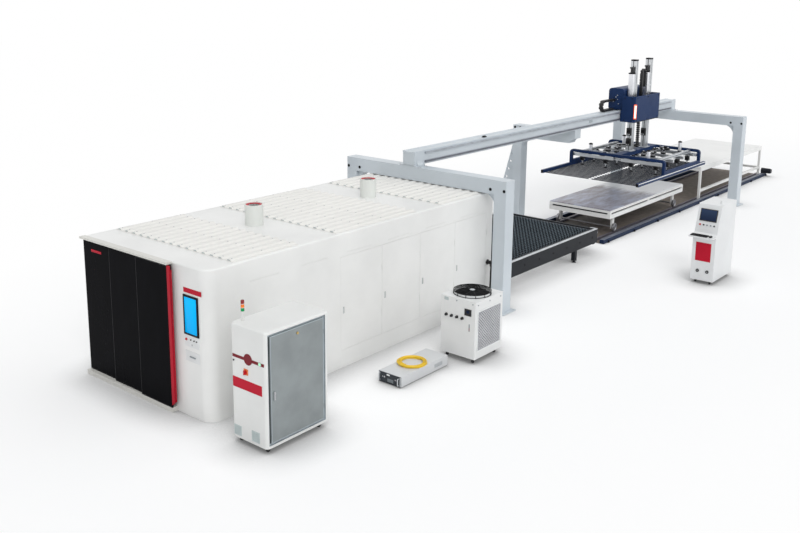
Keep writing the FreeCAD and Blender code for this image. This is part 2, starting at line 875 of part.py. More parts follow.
def loader_beam():
    """Beam drawn along the line: a box with lips, and two guide rails on its near face."""
    lip = 12.0
    outline = [(beam_near, beam_bottom), (beam_far, beam_bottom), (beam_far, beam_top - 40),
               (beam_far + lip, beam_top - 30), (beam_far + lip, beam_top),
               (beam_far - 60, beam_top), (beam_far - 70, beam_top - lip),
               (beam_near + 70, beam_top - lip), (beam_near + 60, beam_top),
               (beam_near, beam_top)]
    box = prism([(beam_start, y, z) for y, z in outline], (beam_end - beam_start, 0, 0))
    rails = []
    for z in (beam_bottom + beam_rail_inset, beam_top - beam_rail_inset - beam_rail_height):
        rails.append(block(beam_start + 350, beam_end - 350, beam_near - beam_rail_width,
                           beam_near, z, z + beam_rail_height))
    return joined([box] + rails)


def u_chain(low_run, high_run, radius, width, height, pitch):
    """Cable carrier that turns about x = 0: a band along a U with a link at every pitch."""
    core = 0.35 * height
    outer = Part.Arc(Vector(0, 0, radius + core), Vector(-radius - core, 0, 0),
                     Vector(0, 0, -radius - core)).toShape()
    inner = Part.Arc(Vector(0, 0, radius - core), Vector(core - radius, 0, 0),
                     Vector(0, 0, core - radius)).toShape()
    edges = [outer, inner]
    for run, side in ((high_run, 1), (low_run, -1)):
        high = side * (radius + core)
        low = side * (radius - core)
        corners = [(0, high), (run, high), (run, low), (0, low)]
        edges += Part.makePolygon([Vector(x, 0, z) for x, z in corners]).Edges
    band = drawn(edges, (0, 0.8 * width, 0))
    band.translate(Vector(0, -0.4 * width, 0))
    straight = 0.42 * pitch
    bent = 0.3 * pitch
    places = []
    for run, side in ((low_run, -1), (high_run, 1)):
        places += [((i + 0.5) * pitch, side * radius, 0.0, straight)
                   for i in range(int(run // pitch))]
    steps = int(math.pi * radius // pitch)
    for i in range(steps):
        turn = math.pi * (i + 0.5) / steps
        places.append((-radius * math.sin(turn), -radius * math.cos(turn),
                       180.0 - math.degrees(turn), bent))
    links = []
    for x, z, angle, reach in places:
        link = block(-reach, reach, -width / 2, width / 2, -height / 2, height / 2)
        link.rotate(Vector(0, 0, 0), Vector(0, 1, 0), -angle)
        link.translate(Vector(x, 0, z))
        links.append(link)
    return joined([band] + links)


chain_turn = carriage_start - 560.0
chain_radius = 130.0
chain_height = 56.0
chain_width = 120.0
chain_pitch = 90.0
chain_lower_run = 560.0
yoke_bottom = beam_top + yoke_gap
drive_box_start = carriage_start + 70


def beam_chain():
    """Cable carrier that lies on the beam, turns back and runs to the carriage."""
    chain = u_chain(chain_lower_run, drive_box_start - chain_turn, chain_radius, chain_width,
                    chain_height, chain_pitch)
    chain.translate(Vector(chain_turn, beam_middle + 80,
                           beam_top + chain_height / 2 + slide_gap + chain_radius))
    return chain


# ---- loader carriage, masts and lifting frame ---------------------------------------
carriage_end = carriage_start + carriage_length
mast_back = mast_side / 2
back_plate_front = mast_back + 2 * guide_depth
back_plate_back = beam_near - beam_rail_width - slide_gap
mast_places = tuple(carriage_start + mast_offset + i * mast_pitch for i in (0, 1))


def loader_carriage():
    """Navy saddle over the beam: apron round the masts, back plate, yoke and drive box."""
    x0 = carriage_start
    x1 = carriage_end
    apron = block(x0, x1, -cover_front, back_plate_front, cover_bottom, cover_top)
    apron = rounded(apron, (0, 0, 1), 18, lambda m: m.y < 0)
    hollow = block(x0 + cover_plate, x1 - cover_plate, -cover_front + cover_plate,
                   back_plate_front + 1, cover_bottom - 1, cover_top + 1)
    back = block(x0, x1, back_plate_front, back_plate_back, cover_bottom, yoke_bottom)
    yoke = block(x0 + 60, x1 - 60, back_plate_front, beam_far + 70,
                 yoke_bottom, yoke_bottom + yoke_thickness)
    skirt = block(x0 + 60, x1 - 60, beam_far + 40, beam_far + 70, beam_bottom + 80, yoke_bottom)
    drive = block(drive_box_start, x1 - 70, back_plate_front, back_plate_front + drive_box_width,
                  yoke_bottom + yoke_thickness, drive_box_top)
    drive = rounded(drive, (1, 0, 0), drive_box_round, lambda m: m.z > drive_box_top - 1)
    guides = [block(x - mast_side / 2, x + mast_side / 2, mast_back + slide_gap,
                    back_plate_front, z, z + 90)
              for x in mast_places for z in (cover_bottom + 30, yoke_bottom - 120)]
    carriers = [block(x - mast_side / 2 - 2 * cylinder_radius - 16, x - mast_side / 2 - 8,
                      cylinder_radius, back_plate_front, cylinder_bottom, cylinder_bottom + 60)
                for x in mast_places]
    return joined([apron.cut(hollow), back, yoke, skirt, drive] + guides + carriers)


def lift_cylinders():
    """Balance cylinders that stand beside the masts on the carriage."""
    shapes = []
    for x in mast_places:
        place = x - mast_side / 2 - cylinder_radius - 12
        length = cylinder_top - cylinder_bottom
        shapes.append(rod((place, 0, cylinder_bottom), (0, 0, 1), cylinder_radius, length))
        shapes.append(block(place - cylinder_radius - 6, place + cylinder_radius + 6,
                            -cylinder_radius - 6, cylinder_radius + 6,
                            cylinder_top, cylinder_top + cylinder_cap))
    return group(shapes)


def mast(x):
    """Extruded mast with a T-groove's mouth in each face, on its foot plate."""
    h = mast_side / 2
    g = mast_groove / 2
    d = mast_groove
    quarter = [(h, g), (h, h), (g, h), (g, h - d)]
    outline = []
    for i in range(4):
        c, s = ((1, 0), (0, 1), (-1, 0), (0, -1))[i]
        outline.append((c * (h - d) - s * g, s * (h - d) + c * g))
        outline += [(c * a - s * b, s * a + c * b) for a, b in quarter]
    z = mast_bottom
    body = prism([(x + a, b, z) for a, b in outline], (0, 0, mast_top - z))
    foot = block(x - mast_foot / 2, x + mast_foot / 2, -spine_width / 2, spine_width / 2,
                 z - mast_foot_thickness, z)
    return body.fuse(foot)


mast_chain_radius = 100.0
mast_chain_width = 90.0
mast_chain_height = 50.0
mast_chain_pitch = 80.0
mast_chain_top = mast_top - 420
mast_chain_long = mast_chain_top - cover_top + 110
mast_chain_short = mast_chain_long - 300
mast_chain_x = mast_places[1] - mast_side / 2 - 2 * cylinder_radius - 180


def mast_chain():
    """Cable carrier that loops over between the masts."""
    chain = u_chain(mast_chain_long, mast_chain_short, mast_chain_radius, mast_chain_width,
                    mast_chain_height, mast_chain_pitch)
    chain.rotate(Vector(0, 0, 0), Vector(0, 1, 0), 90)
    chain.translate(Vector(mast_chain_x, 0, mast_chain_top))
    return chain


def chain_bracket():
    """Strip on the second mast's face that reaches round the cylinder to the chain's last link."""
    last_link = (int(mast_chain_short // mast_chain_pitch) - 0.5) * mast_chain_pitch
    low = mast_chain_top - last_link - 25
    leg = mast_chain_x + mast_chain_radius
    face = -mast_side / 2
    strip = block(leg - 18, mast_places[1] - 20, face - 12, face, low, low + 50)
    arm = block(leg - 18, leg + 18, face, -mast_chain_width / 2, low, low + 50)
    return strip.fuse(arm)


def lift_masts():
    first, second = [mast(x) for x in mast_places]
    return group([first, joined([second, chain_bracket()])])


def goalpost(x0):
    """A rounded navy hoop across the line, open downwards."""
    top = frame_top
    outer = block(x0, x0 + frame_tube, -frame_half, frame_half, fork_top + slide_gap, top)
    outer = rounded(outer, (1, 0, 0), frame_round, lambda m: m.z > top - 1)
    inner = block(x0 - 1, x0 + frame_tube + 1, -frame_half + frame_tube, frame_half - frame_tube,
                  fork_top - 10, top - frame_tube)
    inner = rounded(inner, (1, 0, 0), frame_round - frame_tube, lambda m: m.z > top - frame_tube - 1)
    return outer.cut(inner)


frame_end = frame_start + frame_length
spine_top = mast_bottom - mast_foot_thickness
spine_bottom = spine_top - spine_height


def lift_frame():
    shapes = [goalpost(frame_start), goalpost(frame_end - frame_tube)]
    shapes.append(block(frame_start + frame_tube, frame_end - frame_tube, -spine_width / 2,
                        spine_width / 2, spine_bottom, spine_top))
    for side in (-1, 1):
        shapes.append(side_block(frame_start + frame_tube, frame_end - frame_tube, side,
                                 frame_half - frame_tube, frame_half,
                                 frame_rail_top - frame_tube, frame_rail_top))
    return joined(shapes)


bar_top = spine_bottom
bar_bottom = bar_top - bar_height


def bar_x(index):
    first = frame_start + frame_tube + 60
    last = frame_end - frame_tube - 60 - bar_width
    return first + index * (last - first) / (bar_count - 1)


def suction_bars():
    """Cross bars under the spine, upper cross profiles beside the hoops and two side profiles."""
    shapes = [block(bar_x(i), bar_x(i) + bar_width, -bar_half, bar_half, bar_bottom, bar_top)
              for i in range(bar_count)]
    near_end = frame_start + frame_tube
    far_end = frame_end - frame_tube
    inner = frame_half - frame_tube
    for x in (near_end, far_end - stringer_width):
        for side in (-1, 1):
            shapes.append(side_block(x, x + stringer_width, side, spine_width / 2, inner,
                                     stringer_top - stringer_height, stringer_top))
    for side in (-1, 1):
        shapes.append(side_block(near_end, far_end, side, side_profile, side_profile + bar_width,
                                 bar_top, bar_top + bar_height))
    return group(shapes)


def valve_blocks():
    """Vacuum valves that stand on the cross bars between the plungers."""
    width, length, height = valve_size
    shapes = []
    for i in (1, bar_count - 2):
        x = bar_x(i) + bar_width / 2
        for y in valve_rows:
            shapes.append(block(x - length / 2, x + length / 2, y - width / 2, y + width / 2,
                                bar_top, bar_top + height))
    return shapes


def suction_cups():
    """Suction cups on their rods under the bars, and the tall plungers above."""
    shapes = []
    for i in range(bar_count):
        x = bar_x(i) + bar_width / 2
        for y in cup_rows:
            profile = [(0, cup_bottom), (cup_radius, cup_bottom),
                       (cup_rod, cup_bottom + cup_height), (cup_rod, bar_bottom), (0, bar_bottom)]
            shapes.append(turned_upright(profile, x, y))
    for i in (0, bar_count - 1):
        x = bar_x(i) + bar_width / 2
        for y in plunger_rows:
            shapes.append(rod((x, y, bar_top), (0, 0, 1), plunger_radius, plunger_height))
    return group(shapes + valve_blocks())


def fork(side):
    """One comb: a rail under the frame's side, with tines that reach in under the sheet."""
    low = fork_top - fork_rail_height
    inner = fork_outer - fork_rail_width
    rail = side_block(fork_start, fork_start + fork_length, side, inner, fork_outer, low, fork_top)
    step = (fork_length - 2 * tine_inset - tine_width) / (tine_count - 1)
    tines = []
    for i in range(tine_count):
        x = fork_start + tine_inset + i * step
        tines.append(side_block(x, x + tine_width, side, inner - tine_reach, inner,
                                low, low + tine_height))
    return joined([rail] + tines)


# ---- floor rails, sheet trolley and unloading table ---------------------------------
def floor_rails():
    """Edge beams, floor sheet and the two wheel rails on it, each a profile of its own."""
    shapes = [block(track_start, track_end, -track_half + track_beam, track_half - track_beam,
                    0, track_plate)]
    for side in (-1, 1):
        shapes.append(side_block(track_start, track_end, side, track_half - track_beam, track_half,
                                 0, track_height))
        shapes.append(side_block(track_start, track_end, side,
                                 wheel_rail_middle - wheel_rail_width / 2,
                                 wheel_rail_middle + wheel_rail_width / 2,
                                 track_plate, wheel_rail_top))
    return group(shapes)


def table_drive():
    """Gearbox on the exchange table's end plate with its motor lying across the line."""
    depth, width, height = table_gearbox
    y1 = -table_half + table_side + 30 + width
    z1 = table_top - 20
    gearbox = block(table_end, table_end + depth, y1 - width, y1, z1 - height, z1)
    gearbox = rounded(gearbox, (0, 1, 0), 18, lambda m: m.x > table_end + 1)
    x = table_end + depth / 2
    z = z1 - height / 2
    motor = rod((x, y1, z), (0, 1, 0), table_motor_radius, table_motor_length)
    cowl = rod((x, y1 + table_motor_length, z), (0, 1, 0), 0.85 * table_motor_radius, 30)
    terminals = block(x - 45, x + 45, y1 + 50, y1 + 140, z, z + table_motor_radius + 35)
    hub = rod((x, y1 - width, z), (0, -1, 0), 48, 34)
    return joined([gearbox, motor, cowl, terminals, hub])


def drive_units():
    """Geared motors: one at each end of the rails for the trolley, one for the pallets."""
    shapes = [table_drive()]
    for x, side in ((track_end - 2 * drive_radius, -1), (track_start + 2 * drive_radius, 1)):
        z = track_height + drive_radius
        y = side * (track_half - track_beam / 2)
        pedestal = block(x - drive_radius, x + drive_radius, min(y - 50, y + 50),
                         max(y - 50, y + 50), track_height, z)
        motor = rod((x, y - side * 60, z), (0, side, 0), drive_radius, drive_length)
        fan_cover = rod((x, y - side * 60 + side * drive_length, z), (0, side, 0),
                        drive_radius * 0.86, 40)
        shapes.append(joined([pedestal, motor, fan_cover]))
    return group(shapes)


axle_height = wheel_rail_top + wheel_radius + slide_gap
trolley_end = trolley_start + trolley_length
tier_bottom = trolley_top - trolley_tier
lower_top = tier_bottom - trolley_slot
lower_bottom = lower_top - trolley_lower
axle_places = (trolley_start + axle_inset, trolley_end - axle_inset)


def sheet_trolley():
    """Two-tier trolley frame with spacer blocks in its slot and bearing blocks below."""
    shapes = []
    for z0, z1 in ((tier_bottom, trolley_top), (lower_bottom, lower_top)):
        for side in (-1, 1):
            shapes.append(side_block(trolley_start, trolley_end, side, trolley_half - trolley_rail,
                                     trolley_half, z0, z1))
        inner = trolley_half - trolley_rail
        for x in (trolley_start, (trolley_start + trolley_end - trolley_rail) / 2,
                  trolley_end - trolley_rail):
            shapes.append(block(x, x + trolley_rail, -inner, inner, z0, z1))
    for side in (-1, 1):
        for x in (trolley_start, (trolley_start + trolley_end - trolley_rail) / 2,
                  trolley_end - trolley_rail):
            shapes.append(side_block(x, x + trolley_rail, side, trolley_half - trolley_rail,
                                     trolley_half, lower_top, tier_bottom))
        inner = wheel_rail_middle - wheel_width / 2 - wheel_hub_gap
        for x in axle_places:
            bearing = side_block(x - 50, x + 50, side, inner - 60, inner,
                                 axle_height - 45, lower_bottom)
            hole = rod((x, -trolley_half, axle_height), (0, 1, 0), axle_radius + slide_gap,
                       2 * trolley_half)
            shapes.append(bearing.cut(hole))
    for x in axle_places:
        inner = trolley_half - trolley_rail
        shapes.append(block(x - 50, x + 50, -inner, inner, lower_bottom, lower_top))
    return joined(shapes)


def trolley_deck():
    return block(trolley_start + 15, trolley_end - 15, -trolley_half + 15, trolley_half - 15,
                 trolley_top, trolley_top + deck_thickness)


def trolley_axle(x):
    """Axle with its two dished wheels, turned about the axle's line."""
    tread = wheel_rail_middle + wheel_width / 2
    start = wheel_rail_middle - wheel_width / 2
    profile = [(start, axle_radius), (start, wheel_radius), (tread, wheel_radius),
               (tread, 0.8 * wheel_radius), (tread - 12, 0.7 * wheel_radius), (tread - 12, 0)]
    left = [(-y, r) for y, r in reversed(profile)]
    points = [Vector(x, y, axle_height + r) for y, r in left + profile]
    return turned(Part.makePolygon(points + points[:1]).Edges, (x, 0, axle_height), (0, 1, 0))


def unloading_table():
    end = unload_start + unload_length
    near = -unload_near
    far = unload_far
    slab = block(unload_start, end, near, far, unload_top - unload_slab, unload_top)
    apron = block(unload_start + 20, end - 20, near, far, unload_top - unload_slab - unload_apron,
                  unload_top - unload_slab)
    well = block(unload_start + 20 + unload_leg, end - 20 - unload_leg, near + unload_leg,
                 far - unload_leg, 0, unload_top - unload_slab)
    shapes = [slab, apron.cut(well)]
    step = (unload_length - unload_leg - 40) / (unload_leg_columns - 1)
    for i in range(unload_leg_columns):
        x = unload_start + 20 + i * step
        for y0, floor in ((near, track_plate), (far - unload_leg, 0)):
            shapes.append(block(x, x + unload_leg, y0, y0 + unload_leg, foot_height,
                                unload_top - unload_slab - unload_apron))
            shapes.append(block(x - 20, x + unload_leg + 20, y0, y0 + unload_leg, floor,
                                foot_height))
    for y0 in (near, far - unload_leg):
        shapes.append(block(unload_start + 20, end - 20, y0, y0 + unload_leg,
                            unload_bar_height, unload_bar_height + unload_leg))
    shapes.append(block(end - 20 - unload_leg, end - 20, near, far, unload_bar_height,
                        unload_bar_height + unload_leg))
    return joined(shapes)


# ---- electrical cabinet -------------------------------------------------------------
cabinet_back = cabinet_front + cabinet_length
cabinet_far = cabinet_near + cabinet_width


def cabinet_shell():
    """Rounded housing whose near side is a recessed frame round the doorway."""
    outer = block(cabinet_front, cabinet_back, cabinet_near, cabinet_far, cabinet_bottom,
                  cabinet_top)
    outer = rounded(outer, (0, 0, 1), cabinet_round, lambda m: m.x < cabinet_front + 1)
    outer = rounded(outer, (1, 0, 0), cabinet_round / 2, lambda m: m.z > cabinet_top - 1)
    rim = cabinet_wall
    recess = block(cabinet_front + rim, cabinet_back - rim, cabinet_near - 1,
                   cabinet_near + cabinet_recess, cabinet_bottom + rim, cabinet_top - rim)
    inner = cabinet_frame + rim
    doorway = block(cabinet_front + inner, cabinet_back - inner, cabinet_near - 1,
                    cabinet_near + cabinet_recess + 31, cabinet_bottom + inner, cabinet_top - inner)
    hollow = block(cabinet_front + rim, cabinet_back - rim,
                   cabinet_near + cabinet_recess + 30, cabinet_far - rim,
                   cabinet_bottom + rim, cabinet_top - rim)
    dial = rod((cabinet_front - 12, switch_place, switch_height), (1, 0, 0), switch_radius + 10, 12)
    bore = rod((cabinet_front - 13, switch_place, switch_height), (1, 0, 0),
               estop_stem + slide_gap, cabinet_wall + 14)
    return outer.cut(group([recess, hollow])).cut(doorway).fuse(dial).cut(bore).removeSplitter()


cabinet_door_x0 = cabinet_front + cabinet_wall + 40
cabinet_door_x1 = cabinet_back - cabinet_wall - 40
cabinet_door_back = cabinet_near + cabinet_recess - slide_gap


def cabinet_door():
    """Sheet door over the doorway, with its swing handle and the knuckles at its rear edge."""
    y0 = cabinet_door_back - cabinet_door_thickness
    door = block(cabinet_door_x0, cabinet_door_x1, y0, cabinet_door_back,
                 cabinet_bottom + cabinet_wall + 30, cabinet_top - cabinet_wall - 30)
    door = rounded(door, (0, 1, 0), 12)
    handle = block(cabinet_door_x0 + 45, cabinet_door_x0 + 75, y0 - 16, y0, 800, 930)
    lock = rod(((cabinet_door_x0 + cabinet_door_x1) / 2, y0, cabinet_top - 160), (0, -1, 0), 14, 8)
    knuckles = [rod((cabinet_door_x1, y0, z), (0, 0, 1), cabinet_hinge, 70)
                for z in (cabinet_bottom + 250, cabinet_top - 320)]
    return joined([door, handle, lock] + knuckles)


def drive_rack():
    """Mounting plate inside the cabinet with drives, contactors and a cable duct."""
    x0 = cabinet_front + cabinet_wall
    x1 = cabinet_back - cabinet_wall
    back = cabinet_far - cabinet_wall
    plate = block(x0 + 60, x1 - 60, back - rack_thickness, back, cabinet_bottom + 120,
                  cabinet_top - 120)
    face = back - rack_thickness
    shapes = [plate]
    for i in range(4):
        start = x0 + 120 + i * 230
        shapes.append(block(start, start + 170, face - 220, face, 1150, 1550))
    for i in range(6):
        start = x0 + 120 + i * 150
        shapes.append(block(start, start + 90, face - 90, face, 780, 900))
    for z in (620, 1000):
        shapes.append(block(x0 + 100, x1 - 100, face - 60, face, z, z + 70))
    shapes.append(block(x0 + 140, x0 + 560, face - 260, face, 260, 560))
    return joined(shapes)


def isolator_switch():
    """Rotary main switch: turned grip with a flat bar across it."""
    x = cabinet_front - 12 - slide_gap
    grip = rod((x, switch_place, switch_height), (-1, 0, 0), switch_radius, 14)
    bar = block(x - 34, x - 14, switch_place - 9, switch_place + 9,
                switch_height - switch_radius, switch_height + switch_radius)
    stem = rod((x, switch_place, switch_height), (1, 0, 0), estop_stem, cabinet_wall)
    return joined([grip, bar, stem])


def signal_tower():
    """Pole and three stacked lamps on the cabinet's top, turned as one profile."""
    lamp = tower_height * 0.55 / 3
    base = cabinet_top + tower_height * 0.45
    foot = tower_radius * 1.2
    profile = [(0, cabinet_top), (foot, cabinet_top), (foot, cabinet_top + 14),
               (tower_radius * 0.6, cabinet_top + 14), (tower_radius * 0.6, base)]
    for i in range(3):
        z = base + i * lamp
        profile += [(tower_radius, z), (tower_radius, z + lamp - 4),
                    (tower_radius * 0.85, z + lamp - 4), (tower_radius * 0.85, z + lamp)]
    return turned_upright(profile + [(0, base + 3 * lamp)], *tower_place)


# ---- chiller ------------------------------------------------------------------------
chiller_back = chiller_front + chiller_length
chiller_far = chiller_near + chiller_width
fan_x = (chiller_front + chiller_back) / 2
fan_y = (chiller_near + chiller_far) / 2


def chiller_shell():
    """Housing with fittings, and a top in four pieces round the fan's well."""
    outer = block(chiller_front, chiller_back, chiller_near, chiller_far, chiller_bottom,
                  chiller_top)
    outer = rounded(outer, (0, 0, 1), 14)
    floor = fan_seat - well_depth
    lid = outer.common(block(chiller_front, chiller_back, chiller_near, chiller_far, floor,
                             chiller_top))
    well = rod((fan_x, fan_y, floor - 1), (0, 0, 1), fan_radius + well_gap,
               chiller_top - floor + 2)
    lid = lid.cut(well)
    far = chiller_length
    corners = [(fan_x + sx * far, fan_y + sy * far) for sx, sy in
               ((1, -1), (1, 1), (-1, 1), (-1, -1))]
    tops = []
    for (ax, ay), (bx, by) in zip(corners, corners[1:] + corners[:1]):
        wedge = prism([(fan_x, fan_y, floor), (ax, ay, floor), (bx, by, floor)],
                      (0, 0, chiller_top - floor))
        tops.append(lid.common(wedge))
    base = outer.common(block(chiller_front, chiller_back, chiller_near, chiller_far,
                              chiller_bottom, floor))
    x0 = chiller_front + 75
    x1 = chiller_back - 75
    z0 = chiller_bottom + 150
    z1 = chiller_top - 190
    step = (z1 - z0) / mesh_bar_count
    slots = [block(x0, x1, chiller_near - 1, chiller_near + 10,
                   z0 + i * step, z0 + (i + 0.6) * step) for i in range(mesh_bar_count)]
    shaft = rod((fan_x, fan_y, floor), (0, 0, 1), 16, well_depth - slide_gap)
    ports = []
    for i in range(port_count):
        y = chiller_far - 130 - i * port_pitch
        ports.append(rod((chiller_front, y, port_height), (-1, 0, 0), port_radius, 34))
    display = block(chiller_front - 8, chiller_front, chiller_near + 90, chiller_near + 230, 880,
                    floor - 5)
    inlet = rod((chiller_back, fan_y, hose_inlet_height), (1, 0, 0), elbow_radius, 50)
    return group([joined([base.cut(group(slots)), display, inlet] + ports), shaft] + tops)


def chiller_fan():
    """Axial rotor: pitched blades round a hub."""
    shapes = [rod((0, 0, 0), (0, 0, 1), fan_hub, fan_height)]
    root = fan_hub - 8
    tip = fan_radius - 12
    middle = fan_height / 2
    for i in range(fan_blades):
        blade = prism([(root, -30, middle), (tip, -62, middle), (tip, 62, middle),
                       (root, 30, middle)], (0, 0, 4))
        blade.rotate(Vector(0, 0, middle), Vector(1, 0, 0), fan_pitch)
        blade.rotate(Vector(0, 0, 0), Vector(0, 0, 1), 360.0 * i / fan_blades)
        shapes.append(blade)
    rotor = joined(shapes)
    rotor.translate(Vector(fan_x, fan_y, fan_seat))
    return rotor


def wire_arcs(radius, z, size):
    """A ring of wire in equal arcs that meet end to end."""
    x = fan_x + radius
    corners = [(x, fan_y, z), (x + size, fan_y, z), (x + size, fan_y, z + size), (x, fan_y, z + size)]
    ring = Part.makePolygon([Vector(*c) for c in corners + corners[:1]]).Edges
    step = 360.0 / guard_spokes
    arcs = []
    for i in range(guard_spokes):
        arc = outline_face(ring).revolve(Vector(fan_x, fan_y, 0), Vector(0, 0, 1), step)
        arc.rotate(Vector(fan_x, fan_y, 0), Vector(0, 0, 1), i * step)
        arcs.append(arc)
    return arcs


def fan_guard():
    """Finger guard welded from wire: rings, posts under the outer ring and spokes on top."""
    ring_bottom = chiller_top + guard_rise - 2 * guard_wire
    ring_top = ring_bottom + guard_wire
    shapes = [rod((fan_x, fan_y, ring_bottom), (0, 0, 1), guard_hub, guard_wire)]
    for i in range(guard_rings + 1):
        radius = guard_radius - i * (guard_radius - guard_hub) / (guard_rings + 1)
        shapes += wire_arcs(radius, ring_bottom, guard_wire)
    for i in range(guard_spokes):
        spoke = block(fan_x + guard_hub / 3, fan_x + guard_radius + guard_wire, fan_y - guard_wire / 2,
                      fan_y + guard_wire / 2, ring_top, ring_top + guard_wire)
        post = block(fan_x + guard_radius, fan_x + guard_radius + guard_wire,
                     fan_y - guard_wire, fan_y + guard_wire, chiller_top, ring_bottom)
        for shape in (spoke, post):
            shape.rotate(Vector(fan_x, fan_y, 0), Vector(0, 0, 1), 360.0 * (i + 0.5) / guard_spokes)
            shapes.append(shape)
    return group(shapes)


# ---- hose and coil ------------------------------------------------------------------
def arc_route(points, wire_radius):
    """Straight runs joined by tangent arcs, each arc as large as its two runs allow."""
    corners = [Vector(*p) for p in points]
    edges = []
    start = corners[0]
    radii = []
    for before, corner, after in zip(corners, corners[1:], corners[2:]):
        into = corner - before
        out = after - corner
        turn = into.getAngle(out)
        shorter = min(into.Length, out.Length)
        radius = 0.45 * shorter / math.tan(turn / 2)
        reach = 0.45 * shorter
        first = corner - into.normalize() * reach
        last = corner + out.normalize() * reach
        centre_way = (first + last) * 0.5 - corner
        depth = radius / math.cos(turn / 2) - radius
        middle = corner + centre_way.normalize() * depth
        edges.append(Part.makeLine(start, first))
        edges.append(Part.Arc(first, middle, last).toShape())
        start = last
        radii.append(radius)
    edges.append(Part.makeLine(start, corners[-1]))
    print("arc radii", [round(r) for r in radii], "least in wire radii",
          round(min(radii) / wire_radius, 1))
    return Part.Wire(edges)


def tube(wire, radius):
    first = wire.Edges[0]
    start = first.valueAt(first.FirstParameter)
    direction = first.tangentAt(first.FirstParameter)
    circle = Part.Wire([Part.makeCircle(radius, start, direction)])
    pipe = wire.makePipeShell([circle], True, False)
    solid = pipe if pipe.ShapeType == "Solid" else Part.Solid(pipe)
    share = solid.Volume / (math.pi * radius ** 2 * wire.Length)
    print("tube volume over section times length", round(share, 4), "valid", solid.isValid())
    return solid


def wall_elbow():
    """The black elbow on the enclosure's wall that the hose hangs from."""
    x, z = hose_wall_place
    drop = rod((x, near_wall - 110, z - 70), (0, 0, 1), elbow_radius, 110)
    stub = rod((x, near_wall, z), (0, -1, 0), elbow_radius, 110)
    collar = rod((x, near_wall, z), (0, -1, 0), elbow_radius + 16, 14)
    return joined([drop, stub, collar])


def hose_points():
    """Corners of the hose: down the wall, over the floor and up to the chiller's inlet."""
    x, z = hose_wall_place
    y = near_wall - 110
    lie = hose_radius + 4
    inlet = chiller_back + 50
    return [(x, y, z - 70), (x, y, z - 330), (x - 20, y - 5, z - 590), (x - 130, y - 20, z - 790),
            (x - 320, y - 45, lie), (x - 600, y - 85, lie - 2), (x - 880, y - 215, lie),
            (x - 1110, y - 450, lie - 2), (x - 1260, y - 740, lie), (x - 1400, y - 960, lie + 12),
            (inlet + 240, fan_y, hose_inlet_height), (inlet, fan_y, hose_inlet_height)]


def biarc(p0, t0, p1, t1):
    """Two tangent arcs from one point and direction to another."""
    v = p1 - p0
    t = t0 + t1
    a = 2 * (1 - t0.dot(t1))
    b = v.dot(t)
    reach = (-b + math.sqrt(b * b + a * v.dot(v))) / a
    q0 = p0 + t0 * reach
    q1 = p1 - t1 * reach
    joint = (q0 + q1) * 0.5
    return [fillet_arc(p0, q0, joint), fillet_arc(joint, q1, p1)]


def fillet_arc(start, corner, end):
    into = corner - start
    out = end - corner
    half = into.getAngle(out) / 2
    radius = into.Length / math.tan(half)
    inward = (start + end) * 0.5 - corner
    middle = corner + inward.normalize() * (radius / math.cos(half) - radius)
    return Part.Arc(start, middle, end).toShape()


source_top = source_foot + source_height


def coil_wire():
    """Loops that spiral out in one layer and in again in the next, climbing where they turn."""
    half_turns = 2 * coil_turns
    x, y = coil_place
    base = source_top + slide_gap + fibre_radius
    stations = []
    for layer in range(coil_layers):
        for i in range(half_turns + 1):
            step = i if layer % 2 == 0 else half_turns - i
            radius = coil_inner + fibre_radius + step * coil_pitch / 2
            stations.append((radius, math.pi * len(stations), base + layer * coil_step))
    edges = []
    places = []
    for radius, angle, z in stations:
        place = Vector(x + radius * math.cos(angle), y + radius * math.sin(angle), z)
        direction = Vector(-math.sin(angle), math.cos(angle), 0)
        places.append((place, direction))
    first_place, first_way = places[0]
    last_place, last_way = places[-1]
    lead = 2 * fibre_radius
    edges.append(Part.makeLine(first_place - first_way * lead, first_place))
    for (p0, t0), (p1, t1) in zip(places, places[1:]):
        edges += biarc(p0, t0, p1, t1)
    edges.append(Part.makeLine(last_place, last_place + last_way * lead))
    return Part.Wire(edges)


def coil_least_gap(wire):
    """Least clear distance between stretches of the coil that aren't neighbours."""
    sample_pitch = 4.0
    apart = 40
    samples = []
    for edge in wire.Edges:
        count = max(int(edge.Length / sample_pitch), 1)
        span = edge.LastParameter - edge.FirstParameter
        places = [edge.valueAt(edge.FirstParameter + span * k / count) for k in range(count)]
        samples += [(p.x, p.y, p.z) for p in places]
    return min(math.dist(a, b) for i, a in enumerate(samples)
               for b in samples[i + apart:]) - 2 * fibre_radius


# ---- laser source -------------------------------------------------------------------
def laser_source():
    """Rack unit on four feet, with a dark front plate and two bow handles."""
    x1 = source_front + source_length
    y1 = source_near + source_width
    body = rounded(block(source_front, x1, source_near, y1, source_foot, source_top), (1, 0, 0), 6)
    face = block(source_front - 8, source_front, source_near, y1, source_foot, source_top - 8)
    feet = [rod((x, y, 0), (0, 0, 1), 24, source_foot)
            for x in (source_front + 90, x1 - 90) for y in (source_near + 60, y1 - 60)]
    handles = []
    for y in (source_near + 40, y1 - 40):
        z0 = source_foot + (source_height - source_handle) / 2
        bow = block(source_front - 53, source_front - 8, y - source_handle_bar / 2,
                    y + source_handle_bar / 2, z0, z0 + source_handle)
        bow = rounded(bow, (0, 1, 0), 14, lambda m: m.x < source_front - 40)
        gap = block(source_front - 53 + source_handle_bar, source_front - 7,
                    y - source_handle_bar, y + source_handle_bar, z0 + source_handle_bar,
                    z0 + source_handle - source_handle_bar)
        handles.append(bow.cut(gap))
    return joined([body, face] + feet + handles)


